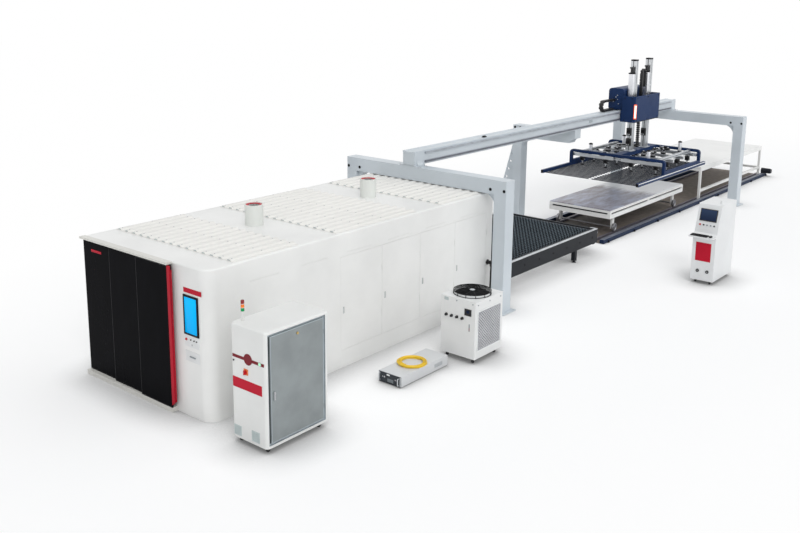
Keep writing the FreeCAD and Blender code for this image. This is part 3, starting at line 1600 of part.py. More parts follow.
# ---- loader's console ---------------------------------------------------------------
def console_body():
    """Desk with a sloped screen face, a keyboard shelf and two round sockets."""
    x0 = console_front
    x1 = x0 + console_length
    y = console_near
    shelf = console_shelf
    side = [(x0, y, console_bottom), (x0, y, shelf), (x0 + console_brow, y, shelf + 40),
            (x0 + console_slope, y, console_top), (x1, y, console_top), (x1, y, console_bottom)]
    body = rounded(prism(side, (0, console_width, 0)), (0, 1, 0), 16,
                   lambda m: m.z > console_top - 1)
    tray = block(x0 - console_shelf_reach, x0, y - 20, y + console_width + 20,
                 shelf - console_shelf_thickness, shelf)
    tray = rounded(tray, (0, 0, 1), 20, lambda m: m.x < x0 - 1)
    normal = Vector(shelf + 40 - console_top, 0, console_slope - console_brow).normalize()
    slope_mid = Vector(x0 + (console_brow + console_slope) / 2, y + console_width / 2,
                       (shelf + 40 + console_top) / 2)
    tilt = math.degrees(math.atan2(console_slope - console_brow, console_top - shelf - 40))
    screen = block(-12, 0, -190, 190, -60, 210)
    keys = [rod((0, k * 80.0, -150), (-1, 0, 0), 16, 14) for k in (-2, -1, 0, 1, 2)]
    pieces = []
    for shape in [screen] + keys:
        shape.rotate(Vector(0, 0, 0), Vector(0, 1, 0), tilt)
        shape.translate(slope_mid)
        pieces.append(shape)
    sockets = [rod((x0, y + console_width - d, 300), (-1, 0, 0), socket_radius, 14)
               for d in (160, 380)]
    antenna = rod((x0 + 420, y + 90, console_top), (0, 0, 1), 28, 70)
    return joined([body, tray, antenna] + pieces + sockets)


def console_keyboard():
    """Keyboard and mouse that lie on the shelf."""
    depth, width, height = keyboard_size
    x0 = console_front - console_shelf_reach + 45
    y0 = console_near + console_width - width
    low = block(x0, x0 + depth, y0, y0 + width, console_shelf, console_shelf + height)
    slope = prism([(x0, y0 - 1, console_shelf + height), (x0, y0 - 1, console_shelf + 0.5 * height),
                   (x0 + depth, y0 - 1, console_shelf + height)], (0, width + 2, 0))
    mouse = rounded(block(x0 + 30, x0 + 130, y0 - 90, y0 - 30, console_shelf,
                          console_shelf + 30), (0, 0, 1), 24)
    return group([low.cut(slope), mouse])


# ---- castors ------------------------------------------------------------------------
def castor(x, y, top):
    """A plate castor: fork plate and wheel on the floor."""
    plate = block(x - 38, x + 38, y - 38, y + 38, top - 6, top)
    wheel = rod((x, y - castor_width / 2, castor_radius), (0, 1, 0), castor_radius, castor_width)
    cheeks = [block(x - 20, x + 20, y + s * (castor_width / 2 + 3) - 3,
                    y + s * (castor_width / 2 + 3) + 3, castor_radius - 12, top - 6)
              for s in (-1, 1)]
    return joined([plate, wheel] + cheeks)


def unit_castors():
    shapes = []
    for x0, x1, y0, y1, top in (
            (cabinet_front, cabinet_back, cabinet_near, cabinet_far, cabinet_bottom),
            (chiller_front, chiller_back, chiller_near, chiller_far, chiller_bottom),
            (console_front, console_front + console_length, console_near,
             console_near + console_width, console_bottom)):
        for x in (x0 + castor_inset, x1 - castor_inset):
            for y in (y0 + castor_inset, y1 - castor_inset):
                shapes.append(castor(x, y, top))
    return group(shapes)


def build():
    add("front_cabin", front_cabin())
    shell = joined([enclosure_shell(), wall_elbow()])
    add("enclosure_shell", shell)
    add("roof_sheets", group([ribbed_sheet(x, length) for x, length in sheet_spans]))
    add("vent_stacks", group([vent_stack(x) for x in vent_places]))
    add("door_tracks", door_tracks())
    for index, name in enumerate(("near", "middle", "far")):
        add("door_leaf_" + name, door_leaf(index))
    add("door_handle", door_handle())
    add("operator_panel", operator_panel())
    add("front_estop", front_estop())
    add("keyboard_drawer", keyboard_drawer())
    for index in range(side_door_count):
        add("side_door_%d" % (index + 1), side_door(index))
    add("machine_bed", machine_bed())
    add("gantry_beam", gantry_beam())
    add("cross_carriage", cross_carriage())
    add("cutting_head", cutting_head())
    add("inner_pallet", group([pallet_frame(inner_pallet_start, lower_ledge)]
                              + pallet_slats(inner_pallet_start, lower_ledge)))
    add("outer_pallet_frame", pallet_frame(outer_pallet_start, upper_ledge))
    add("outer_pallet_slats", group(pallet_slats(outer_pallet_start, upper_ledge)))
    add("exchange_frame", exchange_frame())
    add("front_portal", portal(portal_front))
    add("middle_support", middle_support())
    add("end_portal", portal(portal_end))
    add("loader_beam", loader_beam())
    add("beam_chain", beam_chain())
    add("loader_carriage", loader_carriage())
    add("lift_cylinders", lift_cylinders())
    add("lift_masts", lift_masts())
    add("mast_chain", mast_chain())
    add("lift_frame", lift_frame())
    add("suction_bars", suction_bars())
    add("suction_cups", suction_cups())
    add("fork_near", fork(-1))
    add("fork_far", fork(1))
    add("floor_rails", floor_rails())
    add("drive_units", drive_units())
    add("sheet_trolley", sheet_trolley())
    add("trolley_deck", trolley_deck())
    add("trolley_axle_front", trolley_axle(axle_places[0]))
    add("trolley_axle_rear", trolley_axle(axle_places[1]))
    add("unloading_table", unloading_table())
    add("cabinet_shell", cabinet_shell())
    add("cabinet_door", cabinet_door())
    add("drive_rack", drive_rack())
    add("isolator_switch", isolator_switch())
    add("signal_tower", signal_tower())
    add("chiller_shell", chiller_shell())
    add("chiller_fan", chiller_fan())
    add("fan_guard", fan_guard())
    add("water_hose", tube(arc_route(hose_points(), hose_radius), hose_radius))
    add("laser_source", laser_source())
    coil = coil_wire()
    print("coil's least gap", round(coil_least_gap(coil), 2))
    add("fibre_coil", tube(coil, fibre_radius))
    add("console_body", console_body())
    add("console_keyboard", console_keyboard())
    add("unit_castors", unit_castors())


build()
bounds = FreeCAD.BoundBox()
for name, shape in nodes.items():
    if name not in cords:
        bounds.add(shape.BoundBox)
origin = Vector((bounds.XMin + bounds.XMax) / 2, (bounds.YMin + bounds.YMax) / 2, 0)
os.makedirs("parts", exist_ok=True)
for name, shape in nodes.items():
    shape.translate(origin * -1)
    shape.exportStep("parts/" + name + ".step")
print("nodes", len(nodes), "origin", origin, "size", bounds.XLength, bounds.YLength, bounds.ZMax)
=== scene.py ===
import math

import bmesh
import bpy
from mathutils import Matrix, Vector


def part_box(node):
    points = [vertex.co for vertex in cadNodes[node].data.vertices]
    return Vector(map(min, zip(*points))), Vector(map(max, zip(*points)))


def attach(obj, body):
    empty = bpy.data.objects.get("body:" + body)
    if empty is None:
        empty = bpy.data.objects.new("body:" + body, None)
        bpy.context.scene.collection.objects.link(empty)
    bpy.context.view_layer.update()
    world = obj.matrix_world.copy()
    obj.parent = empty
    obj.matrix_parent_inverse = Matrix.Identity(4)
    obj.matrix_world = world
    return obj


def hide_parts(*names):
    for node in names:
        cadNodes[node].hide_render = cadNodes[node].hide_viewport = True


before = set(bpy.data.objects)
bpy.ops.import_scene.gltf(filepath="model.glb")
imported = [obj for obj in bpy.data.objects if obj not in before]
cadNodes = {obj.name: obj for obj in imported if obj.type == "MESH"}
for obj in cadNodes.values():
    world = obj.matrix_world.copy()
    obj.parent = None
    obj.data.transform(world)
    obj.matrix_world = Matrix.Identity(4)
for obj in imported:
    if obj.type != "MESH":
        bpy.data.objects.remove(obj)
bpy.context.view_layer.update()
print("frame loaded:", len(cadNodes), "nodes")

# plan coordinates start at the enclosure's front, the line's middle and the floor
rowOrigin = (12.67685, -0.945, 0.0)
toFront, toBack, toNear, toTop = (-1, 0, 0), (1, 0, 0), (0, -1, 0), (0, 0, 1)


def at(x, y, z):
    return Vector((x - rowOrigin[0], y - rowOrigin[1], z - rowOrigin[2]))


cameraSettings = {
    "place": (-8.281, -11.970, 6.456),
    "yaw": 39.399,      # degrees from +X towards +Y
    "pitch": -12.207,
    "roll": 0.590,
    "lens": 42.25,
    "shiftY": -0.0956,
}


def addCamera(settings):
    yaw, pitch, roll = (math.radians(settings[k]) for k in ("yaw", "pitch", "roll"))
    flat = math.cos(pitch)
    ahead = Vector((flat * math.cos(yaw), flat * math.sin(yaw), math.sin(pitch)))
    level = Vector((math.sin(yaw), -math.cos(yaw), 0))
    upright = level.cross(ahead)
    right = level * math.cos(roll) + upright * math.sin(roll)
    up = upright * math.cos(roll) - level * math.sin(roll)
    place = at(*settings["place"])
    bpy.ops.object.camera_add(location=place)
    camera = bpy.context.object
    turn = Matrix((right, up, -ahead)).transposed().to_4x4()
    camera.matrix_world = Matrix.Translation(place) @ turn
    camera.data.sensor_width = 36
    camera.data.lens = settings["lens"]
    camera.data.shift_y = settings["shiftY"]
    camera.data.clip_end = 200
    bpy.context.scene.camera = camera


addCamera(cameraSettings)


def setInputs(tree, node, inputs):
    # a socket is linked, anything else becomes the input's own value
    for key, value in inputs.items():
        if isinstance(value, bpy.types.NodeSocket):
            tree.links.new(value, node.inputs[key])
        else:
            node.inputs[key].default_value = value


def addNode(tree, kind, inputs, **settings):
    node = tree.nodes.new("ShaderNode" + kind)
    for key, value in settings.items():
        setattr(node, key, value)
    setInputs(tree, node, inputs)
    return node


def newMaterial(name, colour, roughness, metallic=0.0, coat=0.0, specular=0.5):
    material = bpy.data.materials.new(name)
    material.use_nodes = True
    tree = material.node_tree
    shader = tree.nodes["Principled BSDF"]
    setInputs(tree, shader, {"Base Color": (*colour, 1), "Roughness": roughness,
                             "Metallic": metallic, "Specular IOR Level": specular,
                             "Coat Weight": coat, "Coat Roughness": 0.08})
    return material, tree, shader


def objectPlace(tree, scale=(1, 1, 1)):
    place = addNode(tree, "TexCoord", {}).outputs["Object"]
    return addNode(tree, "Mapping", {"Vector": place, "Scale": scale}).outputs["Vector"]


def objectAxes(tree):
    place = addNode(tree, "TexCoord", {}).outputs["Object"]
    return addNode(tree, "SeparateXYZ", {0: place}).outputs


def noise(tree, vector, scale, detail=3.0, roughness=0.55):
    return addNode(tree, "TexNoise", {"Vector": vector, "Scale": scale, "Detail": detail,
                                      "Roughness": roughness}).outputs["Fac"]


def ramp(tree, value, low, high, lowAt=0.0, highAt=1.0):
    node = addNode(tree, "ValToRGB", {"Fac": value})
    for element, colour, place in zip(node.color_ramp.elements, (low, high), (lowAt, highAt)):
        element.position = place
        element.color = (*colour, 1)
    return node.outputs["Color"]


def spread(tree, value, low, high, fromLow=0.0, fromHigh=1.0):
    return addNode(tree, "MapRange", {"Value": value, "From Min": fromLow, "From Max": fromHigh,
                                      "To Min": low, "To Max": high}).outputs["Result"]


def calculate(tree, operation, *terms):
    return addNode(tree, "Math", dict(enumerate(terms)), operation=operation).outputs[0]


def bump(tree, height, strength, distance):
    return addNode(tree, "Bump", {"Height": height, "Strength": strength,
                                  "Distance": distance}).outputs["Normal"]


def tinted(colour, factor):
    return tuple(min(1.0, c * factor) for c in colour)


def insideBox(tree, low, high):
    # 1 inside a box given in plan coordinates, None leaves an axis free
    result = None
    for axis, place in enumerate(objectAxes(tree)):
        if low[axis] is None:
            continue
        middle = (low[axis] + high[axis]) / 2 - rowOrigin[axis]
        test = calculate(tree, "COMPARE", place, middle, (high[axis] - low[axis]) / 2)
        result = calculate(tree, "MULTIPLY", result, test) if result else test
    return result


def blendInput(tree, shader, socket, mask, value):
    # where the mask is 1 the socket takes the value, elsewhere what it had
    kind, first, out = ("RGBA", 6, 2) if socket == "Base Color" else ("FLOAT", 2, 0)
    target = shader.inputs[socket]
    had = target.links[0].from_socket if target.is_linked else target.default_value
    mix = addNode(tree, "Mix", {0: mask, first: had, first + 1: value}, data_type=kind)
    tree.links.new(mix.outputs[out], target)


def patched(material, patches):
    # patches: (low, high, colour, roughness, metallic) boxes where the node has another finish
    tree = material.node_tree
    shader = tree.nodes["Principled BSDF"]
    for low, high, colour, roughness, metallic in patches:
        mask = insideBox(tree, low, high)
        cloud = noise(tree, objectPlace(tree), 6.0, 4.0)
        shade = ramp(tree, cloud, tinted(colour, 0.85), tinted(colour, 1.12), 0.35, 0.65)
        blendInput(tree, shader, "Base Color", mask, shade)
        blendInput(tree, shader, "Roughness", mask, roughness)
        blendInput(tree, shader, "Metallic", mask, metallic)
    return material


def paint(name, colour, roughness=0.32, peel=0.35, grime=0.05, coat=0.08, specular=0.4):
    # sprayed paint: cloudy tone, handling marks in the gloss and a fine orange peel
    material, tree, shader = newMaterial(name, colour, roughness, 0.0, coat, specular)
    place = objectPlace(tree)
    setInputs(tree, shader, {
        "Base Color": ramp(tree, noise(tree, place, 0.9, 5.0), tinted(colour, 1 - grime),
                           tinted(colour, 1 + grime / 3), 0.36, 0.62),
        "Roughness": spread(tree, noise(tree, place, 4.5, 4.0), roughness * 0.78,
                            roughness * 1.3),
        "Normal": bump(tree, noise(tree, place, 420.0, 2.0), peel, 0.0004)})
    return material


def grained(name, colour, roughness=0.6, grain=900.0, depth=0.5, grime=0.08, specular=0.5):
    # moulded or powder coated grain
    material, tree, shader = newMaterial(name, colour, roughness, specular=specular)
    place = objectPlace(tree)
    setInputs(tree, shader, {
        "Base Color": ramp(tree, noise(tree, place, 2.2, 5.0), tinted(colour, 1 - grime),
                           tinted(colour, 1 + grime), 0.35, 0.65),
        "Roughness": spread(tree, noise(tree, place, 14.0), roughness * 0.85,
                            roughness * 1.12),
        "Normal": bump(tree, noise(tree, place, grain, 2.0), depth, 0.0005)})
    return material


def metal(name, colour, roughness=0.35, brush=(1, 1, 60), stain=0.12):
    # drawn or brushed metal: fine lines along one direction and cloudy stains
    material, tree, shader = newMaterial(name, colour, roughness, 1.0)
    lines = noise(tree, objectPlace(tree, brush), 9.0, 6.0, 0.7)
    cloud = noise(tree, objectPlace(tree), 3.0, 4.0)
    setInputs(tree, shader, {
        "Base Color": ramp(tree, cloud, tinted(colour, 1 - stain),
                           tinted(colour, 1 + stain / 2), 0.3, 0.7),
        "Roughness": spread(tree, lines, roughness * 0.7, roughness * 1.35),
        "Normal": bump(tree, lines, 0.12, 0.0004)})
    return material


def glass(name, colour, roughness=0.06, coat=0.6, specular=0.5):
    # tinted panel with a polished face and faint wipe marks
    material, tree, shader = newMaterial(name, colour, roughness, 0.0, coat, specular)
    wipe = noise(tree, objectPlace(tree, (1, 1, 0.25)), 5.0, 6.0, 0.65)
    setInputs(tree, shader, {
        "Roughness": spread(tree, wipe, roughness * 0.7, roughness * 2.2),
        "Base Color": ramp(tree, wipe, colour, tinted(colour, 1.5), 0.45, 0.75)})
    return material


def glow(name, colour, strength):
    material, tree, shader = newMaterial(name, colour, 0.25, 0.0, 0.4)
    cloud = noise(tree, objectPlace(tree), 30.0)
    setInputs(tree, shader, {
        "Base Color": ramp(tree, cloud, tinted(colour, 0.85), colour, 0.3, 0.6),
        "Emission Color": (*colour, 1), "Emission Strength": strength})
    return material


def display(name, low, high, bottom, top, strength):
    # a plain display: one colour that grows lighter towards the top, with a soft glow
    material, tree, shader = newMaterial(name, high, 0.2, 0.0, 0.0, 0.08)
    colour = ramp(tree, spread(tree, objectAxes(tree)[2], 0.0, 1.0, bottom, top), low, high)
    setInputs(tree, shader, {
        "Base Color": colour, "Emission Color": colour, "Emission Strength": strength,
        "Roughness": spread(tree, noise(tree, objectPlace(tree), 9.0), 0.08, 0.2)})
    return material


def film(name, paintedReflectionFrom, paintedReflectionTo):
    # rolled sheet under a bluish film with brown scuffs; past one side a painted pale reflection
    # lies over the film
    material, tree, shader = newMaterial(name, (0.3, 0.3, 0.36), 0.32, 0.1, 0.1)
    streak = noise(tree, objectPlace(tree, (0.8, 2.6, 1)), 1.5, 8.0, 0.7)
    scuffed = ramp(tree, streak, (0.17, 0.135, 0.145), (0.42, 0.45, 0.56), 0.36, 0.62)
    wavy = calculate(tree, "MULTIPLY_ADD", streak, 0.9, objectAxes(tree)[0])
    # painted reflection: along the line the colour turns pale over the given span, with a wavy edge
    paintedReflection = spread(tree, wavy, 0.0, 1.0, at(paintedReflectionFrom, 0, 0).x, at(paintedReflectionTo, 0, 0).x)
    mix = addNode(tree, "Mix", {0: paintedReflection, 6: scuffed, 7: (0.80, 0.81, 0.83, 1)},
                  data_type="RGBA")
    fine = noise(tree, objectPlace(tree, (2, 30, 1)), 4.0, 5.0)
    setInputs(tree, shader, {"Base Color": mix.outputs[2],
                             "Roughness": spread(tree, fine, 0.2, 0.45),
                             "Normal": bump(tree, fine, 0.15, 0.001)})
    return material


def burntSteelWithPaintedLight(name, low, high):
    # cut steel strip with random burn marks; painted shade makes the flanks dark low between the
    # slats and turns to a painted highlight towards the tips
    material, tree, shader = newMaterial(name, (0.08, 0.11, 0.14), 0.45, 0.35, 0.0, 0.3)
    # the height gives painted light: painted shade low down, a painted highlight at the tips
    level = spread(tree, objectAxes(tree)[2], 0.0, 1.0, low, high)
    burnt = noise(tree, objectPlace(tree, (1, 3, 1)), 3.0, 5.0)
    shade = calculate(tree, "MULTIPLY_ADD", burnt, 0.25, level)
    setInputs(tree, shader, {
        "Base Color": ramp(tree, shade, (0.010, 0.014, 0.018), (0.22, 0.27, 0.31), 0.35, 1.05),
        "Roughness": spread(tree, burnt, 0.35, 0.6)})
    return material


silver = (0.66, 0.68, 0.70)
black = (0.012, 0.012, 0.014)
frameBlue = (0.36, 0.41, 0.44)
recipes = {
    "bodyWhite": (paint, (0.80, 0.80, 0.785)),
    "roofWhite": (paint, (0.78, 0.77, 0.74), 0.5, 0.1, 0.03),
    "ventCream": (paint, (0.76, 0.78, 0.745), 0.45),
    "doorBlack": (glass, (0.003, 0.003, 0.004), 0.16, 0.0, 0.02),
    "handleRed": (paint, (0.44, 0.004, 0.020), 0.35, 0.2, 0.05, 0.0, 0.15),
    "trackWhite": (paint, (0.66, 0.65, 0.61), 0.4),
    "panelWhite": (grained, (0.76, 0.77, 0.77), 0.45),
    "stopRed": (glass, (0.50, 0.006, 0.010), 0.2, 0.3),
    "machineGrey": (grained, (0.22, 0.24, 0.26), 0.55, 500.0),
    "headSteel": (metal, (0.56, 0.56, 0.58), 0.28),
    "palletDark": (grained, (0.022, 0.026, 0.032), 0.5, 350.0, 0.5, 0.3, 0.2),
    "slatSteel": (burntSteelWithPaintedLight, 0.585, 0.638),
    "portalGrey": (paint, (0.56, 0.61, 0.65), 0.34),
    "carriageNavy": (paint, (0.012, 0.032, 0.100), 0.4, 0.3, 0.2, 0.0, 0.12),
    "mastSilver": (metal, silver, 0.36, (60, 60, 1)),
    "chainBlack": (grained, black, 0.45),
    "cupRubber": (grained, (0.02, 0.02, 0.022), 0.6, 600.0),
    "cylinderSilver": (metal, (0.80, 0.81, 0.84), 0.4, (60, 60, 1), 0.05),
    "wheelSteel": (metal, (0.40, 0.40, 0.42), 0.35, (1, 60, 1)),
    "cabinetGrey": (grained, (0.235, 0.26, 0.265), 0.5, 260.0, 0.9, 0.10),
    "frameBlue": (paint, frameBlue, 0.4),
    "rackZinc": (metal, (0.55, 0.56, 0.56), 0.45, (1, 1, 40), 0.25),
    "fanBlack": (grained, (0.010, 0.010, 0.011), 0.5, 900.0, 0.5, 0.08, 0.15),
    "guardBlack": (paint, (0.008, 0.008, 0.009), 0.45, 0.2, 0.05, 0.0, 0.15),
    "hoseBlack": (grained, (0.014, 0.014, 0.015), 0.5, 500.0),
    "fibreYellow": (grained, (0.76, 0.50, 0.015), 0.35, 400.0, 0.3),
    "keysBlack": (grained, (0.015, 0.015, 0.016), 0.5),
    "castorBlack": (grained, (0.022, 0.022, 0.024), 0.6),
    "plateRed": (paint, (0.50, 0.006, 0.026), 0.4, 0.2, 0.05, 0.0, 0.15),
    "bandRed": (paint, (0.19, 0.012, 0.020), 0.4, 0.2, 0.08, 0.0, 0.2),
    "trimBlack": (grained, (0.008, 0.008, 0.010), 0.45, 700.0, 0.3, 0.08, 0.15),
    "trimGrey": (grained, (0.26, 0.29, 0.31), 0.5),
    "paleGrille": (grained, (0.50, 0.56, 0.56), 0.5),
    "brass": (metal, (0.62, 0.46, 0.18), 0.3),
    "switchOrange": (glass, (0.72, 0.16, 0.02), 0.25, 0.3),
    "deckFilm": (film, 16.85, 17.35),
    "screenBlue": (display, (0.0, 0.36, 0.78), (0.0, 0.46, 0.92), 1.35, 1.93, 0.28),
    "screenDark": (display, (0.010, 0.018, 0.045), (0.030, 0.050, 0.10), 1.45, 1.72, 0.15),
    # a dark fill that is painted shade, put in the trolley's slot and behind the chiller's mesh
    "groundDark": (grained, (0.05, 0.05, 0.052), 0.6, 900.0, 0.5, 0.08, 0.1),
    "meshGrey": (metal, (0.50, 0.51, 0.53), 0.5),
    "lampGreen": (glow, (0.40, 0.85, 0.55), 0.3),
    "ledOrange": (glow, (1.0, 0.12, 0.03), 0.7),
    "ledWhite": (glow, (1.0, 0.90, 0.80), 1.2),
}
finishes = {name: make(name, *values) for name, (make, *values) in recipes.items()}

# where one node holds parts of several finishes: box low, box high, colour, roughness, metallic
patchedFinishes = {
    "enclosureWhite": ((0.80, 0.80, 0.785), [
        ((7.12, -1.72, 0.80), (7.40, -1.5505, 1.0), black, 0.5, 0.0)]),
    "beamGrey": ((0.56, 0.61, 0.65), [
        ((None, 0.14, 2.70), (None, 0.1799, 2.90), (0.15, 0.16, 0.19), 0.35, 0.5),
        ((None, 0.14, 2.90), (None, 0.1799, 3.10), (0.40, 0.43, 0.47), 0.35, 0.5)]),
    "forkNavy": ((0.012, 0.032, 0.100), [
        ((None, -1.409, None), (None, 1.409, None), (0.07, 0.075, 0.085), 0.4, 0.7)]),
    "tableBlack": ((0.016, 0.018, 0.022), [
        ((None, None, 0.6301), (None, None, 0.70), silver, 0.35, 0.9)]),
    "railNavy": ((0.010, 0.022, 0.060), [
        ((None, None, 0.1092), (None, None, 0.12), (0.20, 0.22, 0.27), 0.4, 0.4),
        # the base sheet between the rails: its brown-grey is partly its own colour and partly
        # painted shadow from the trolley and table above
        ((None, -1.039, -0.01), (None, 1.039, 0.0104), (0.17, 0.145, 0.125), 0.6, 0.0),
        ((None, -0.90, 0.0105), (None, 0.90, 0.08), (0.16, 0.15, 0.18), 0.4, 0.5)]),
    "cabinetBody": ((0.76, 0.765, 0.75), [
        ((-0.0602, -2.90, 0.1298), (1.0702, -2.80, 1.7802), frameBlue, 0.45, 0.0),
        ((-0.1130, -2.54, 1.09), (-0.1002, -2.43, 1.20), (0.72, 0.16, 0.02), 0.35, 0.0)]),
    "chillerBody": ((0.76, 0.765, 0.76), [
        ((4.30, -3.3, 0.0), (4.4495, -2.4, 1.2), black, 0.4, 0.0),
        ((5.3005, -3.3, 0.0), (5.45, -2.4, 1.2), black, 0.4, 0.0),
        # painted shade: the slot floors and bar faces behind the mesh are dark grey
        ((4.53, -3.229, 0.2), (5.22, -3.20, 1.0), (0.05, 0.05, 0.055), 0.6, 0.0),
        ((4.53, -3.20, 0.90), (5.22, -2.51, 1.1495), (0.02, 0.02, 0.022), 0.6, 0.0)]),
    "sourceBody": ((0.60, 0.61, 0.62), [
        ((2.8705, -2.9, 0.0), (2.8798, -2.3, 0.3), (0.012, 0.017, 0.024), 0.35, 0.0),
        ((2.80, -2.9, 0.0), (2.8705, -2.3, 0.3), (0.62, 0.64, 0.66), 0.3, 0.8)]),
    "towerLamps": ((0.75, 0.75, 0.73), [
        ((None, None, 1.956), (None, None, 2.0095), (0.0, 0.28, 0.08), 0.2, 0.0),
        ((None, None, 2.0112), (None, None, 2.0645), (0.86, 0.20, 0.02), 0.2, 0.0),
        ((None, None, 2.0662), (None, None, 2.13), (0.26, 0.01, 0.012), 0.2, 0.0)]),
    "cupParts": ((0.02, 0.02, 0.022), [
        ((None, None, 1.441), (None, None, 1.50), silver, 0.3, 0.9),
        ((None, -1.0, 1.7505), (None, -0.8, 1.99), silver, 0.3, 0.9),
        ((None, 0.8, 1.7505), (None, 1.0, 1.99), silver, 0.3, 0.9),
        ((None, -0.78, 1.80), (None, 0.78, 1.85), (0.45, 0.45, 0.46), 0.35, 0.8)]),
    "cylinderParts": ((0.74, 0.75, 0.78), [
        ((None, None, 4.126), (None, None, 4.45), (0.015, 0.015, 0.017), 0.4, 0.0)]),
    "driveParts": ((0.014, 0.016, 0.022), [
        ((12.2, -1.40, 0.40), (12.46, -1.165, 0.65), (0.52, 0.54, 0.56), 0.4, 0.5)]),
    "consoleWhite": ((0.76, 0.77, 0.775), [
        ((11.60, -4.6, 0.2), (11.6297, -4.1, 0.4), black, 0.4, 0.0)]),
}
darkPaints = ("forkNavy", "tableBlack", "railNavy", "cupParts", "driveParts")
for finishName, (colour, patches) in patchedFinishes.items():
    shine = (0.0, 0.12) if finishName in darkPaints else (0.08, 0.4)
    finishes[finishName] = patched(paint(finishName, colour, 0.38, 0.3, 0.05, *shine), patches)
patched(finishes["mastSilver"], [((None, None, 4.4595), (None, None, 4.52), black, 0.4, 0.0)])

finishedNodes = {
    "bodyWhite": "front_cabin side_door_1 side_door_2 side_door_3 side_door_4 sheet_trolley"
                 " unloading_table",
    "enclosureWhite": "enclosure_shell", "roofWhite": "roof_sheets",
    "ventCream": "vent_stacks", "trackWhite": "door_tracks",
    "doorBlack": "door_leaf_near door_leaf_middle door_leaf_far", "handleRed": "door_handle",
    "panelWhite": "operator_panel keyboard_drawer", "stopRed": "front_estop isolator_switch",
    "machineGrey": "machine_bed",
    "portalGrey": "gantry_beam front_portal middle_support end_portal",
    "carriageNavy": "cross_carriage loader_carriage lift_frame", "headSteel": "cutting_head",
    "palletDark": "inner_pallet outer_pallet_frame", "slatSteel": "outer_pallet_slats",
    "tableBlack": "exchange_frame", "beamGrey": "loader_beam",
    "chainBlack": "beam_chain mast_chain", "cylinderParts": "lift_cylinders",
    "mastSilver": "lift_masts suction_bars", "cupParts": "suction_cups",
    "forkNavy": "fork_near fork_far", "railNavy": "floor_rails", "driveParts": "drive_units",
    "deckFilm": "trolley_deck", "wheelSteel": "trolley_axle_front trolley_axle_rear",
    "cabinetBody": "cabinet_shell", "cabinetGrey": "cabinet_door", "rackZinc": "drive_rack",
    "towerLamps": "signal_tower", "chillerBody": "chiller_shell", "fanBlack": "chiller_fan",
    "guardBlack": "fan_guard", "sourceBody": "laser_source", "consoleWhite": "console_body",
    "keysBlack": "console_keyboard", "castorBlack": "unit_castors",
}
for finishName, nodeNames in finishedNodes.items():
    for nodeName in nodeNames.split():
        mesh = cadNodes[nodeName].data
        mesh.materials.clear()
        mesh.materials.append(finishes[finishName])
print("materials on nodes")

lights = {
    "floorWhite": 0.28,       # share of plain white that the camera sees in the floor by the line
    "paintedShadeReach": 0.75,     # how far from a foot or a wall the painted shade on the floor reaches
    "paintedShadeFloor": 0.30,      # darkest painted shade on the floor right under a low edge
    "floorPale": 0.98,
    "floorCentre": (12.5, -1.0, 0),
    "floorReach": (19.0, 8.0),      # from here outwards the floor turns to plain white
    "worldStrength": 0.50,
    "keySun": ((0.50, 0.62, -0.60), 34, 1.10),      # direction, softness in degrees, strength
    "fillSun": ((-0.42, 0.70, -0.58), 60, 0.42),
    "topSun": ((0.05, -0.10, -1.0), 50, 0.62),
}


def mixWithWhite(tree, share, shader, white, output):
    # camera and mirror rays see the white by the share, all other rays see the shader
    rays = addNode(tree, "LightPath", {}).outputs
    seen = rays["Is Camera Ray"]
    for ray in ("Is Glossy Ray", "Is Transmission Ray"):
        seen = calculate(tree, "MAXIMUM", seen, rays[ray])
    if share:
        seen = calculate(tree, "MULTIPLY", seen, share)
    plain = addNode(tree, white, {"Color": (1, 1, 1, 1)})
    mix = addNode(tree, "MixShader", {"Fac": seen, 1: shader.outputs[0], 2: plain.outputs[0]})
    setInputs(tree, tree.nodes[output], {"Surface": mix.outputs[0]})


def addStage(settings):
    bpy.ops.mesh.primitive_circle_add(vertices=96, radius=90, fill_type="NGON",
                                      location=(0, 0, -0.0005))
    floor = bpy.context.object
    floor.name = "studioFloor"
    material, tree, shader = newMaterial("studioFloor", (1, 1, 1), 0.9, specular=0.1)
    # ambient occlusion paints shade into the floor's colour near feet and walls and thins the plain
    # white there
    occlusionShade = addNode(tree, "AmbientOcclusion", {"Distance": settings["paintedShadeReach"]}, samples=6)
    floorShadeLevel = spread(tree, occlusionShade.outputs["AO"], settings["paintedShadeFloor"],
                       settings["floorPale"], 0.35, 1.0)
    setInputs(tree, shader, {"Base Color": floorShadeLevel})
    (reachX, reachY), centre = settings["floorReach"], at(*settings["floorCentre"])
    place = addNode(tree, "TexCoord", {}).outputs["Object"]
    scaled = addNode(tree, "Mapping", {
        "Vector": place, "Scale": (1 / reachX, 1 / reachY, 1),
        "Location": (-centre.x / reachX, -centre.y / reachY, 0)}).outputs["Vector"]
    away = addNode(tree, "VectorMath", {0: scaled}, operation="LENGTH").outputs["Value"]
    share = spread(tree, away, settings["floorWhite"], 1.0, 0.75, 1.3)
    mixWithWhite(tree, calculate(tree, "MULTIPLY", share, floorShadeLevel), shader, "Emission",
                 "Material Output")
    floor.data.materials.append(material)

    world = bpy.data.worlds.new("studioWorld")
    bpy.context.scene.world = world
    world.use_nodes = True
    tree = world.node_tree
    soft = tree.nodes["Background"]
    setInputs(tree, soft, {"Color": (0.96, 0.98, 1.0, 1), "Strength": settings["worldStrength"]})
    mixWithWhite(tree, None, soft, "Background", "World Output")


def addSun(name, settings):
    direction, softness, strength = settings[name]
    bpy.ops.object.light_add(type="SUN", location=(0, 0, 20))
    lamp = bpy.context.object
    lamp.name = name
    lamp.data.angle = math.radians(softness)
    lamp.data.energy = strength
    lamp.rotation_euler = Vector(direction).to_track_quat("-Z", "Y").to_euler()


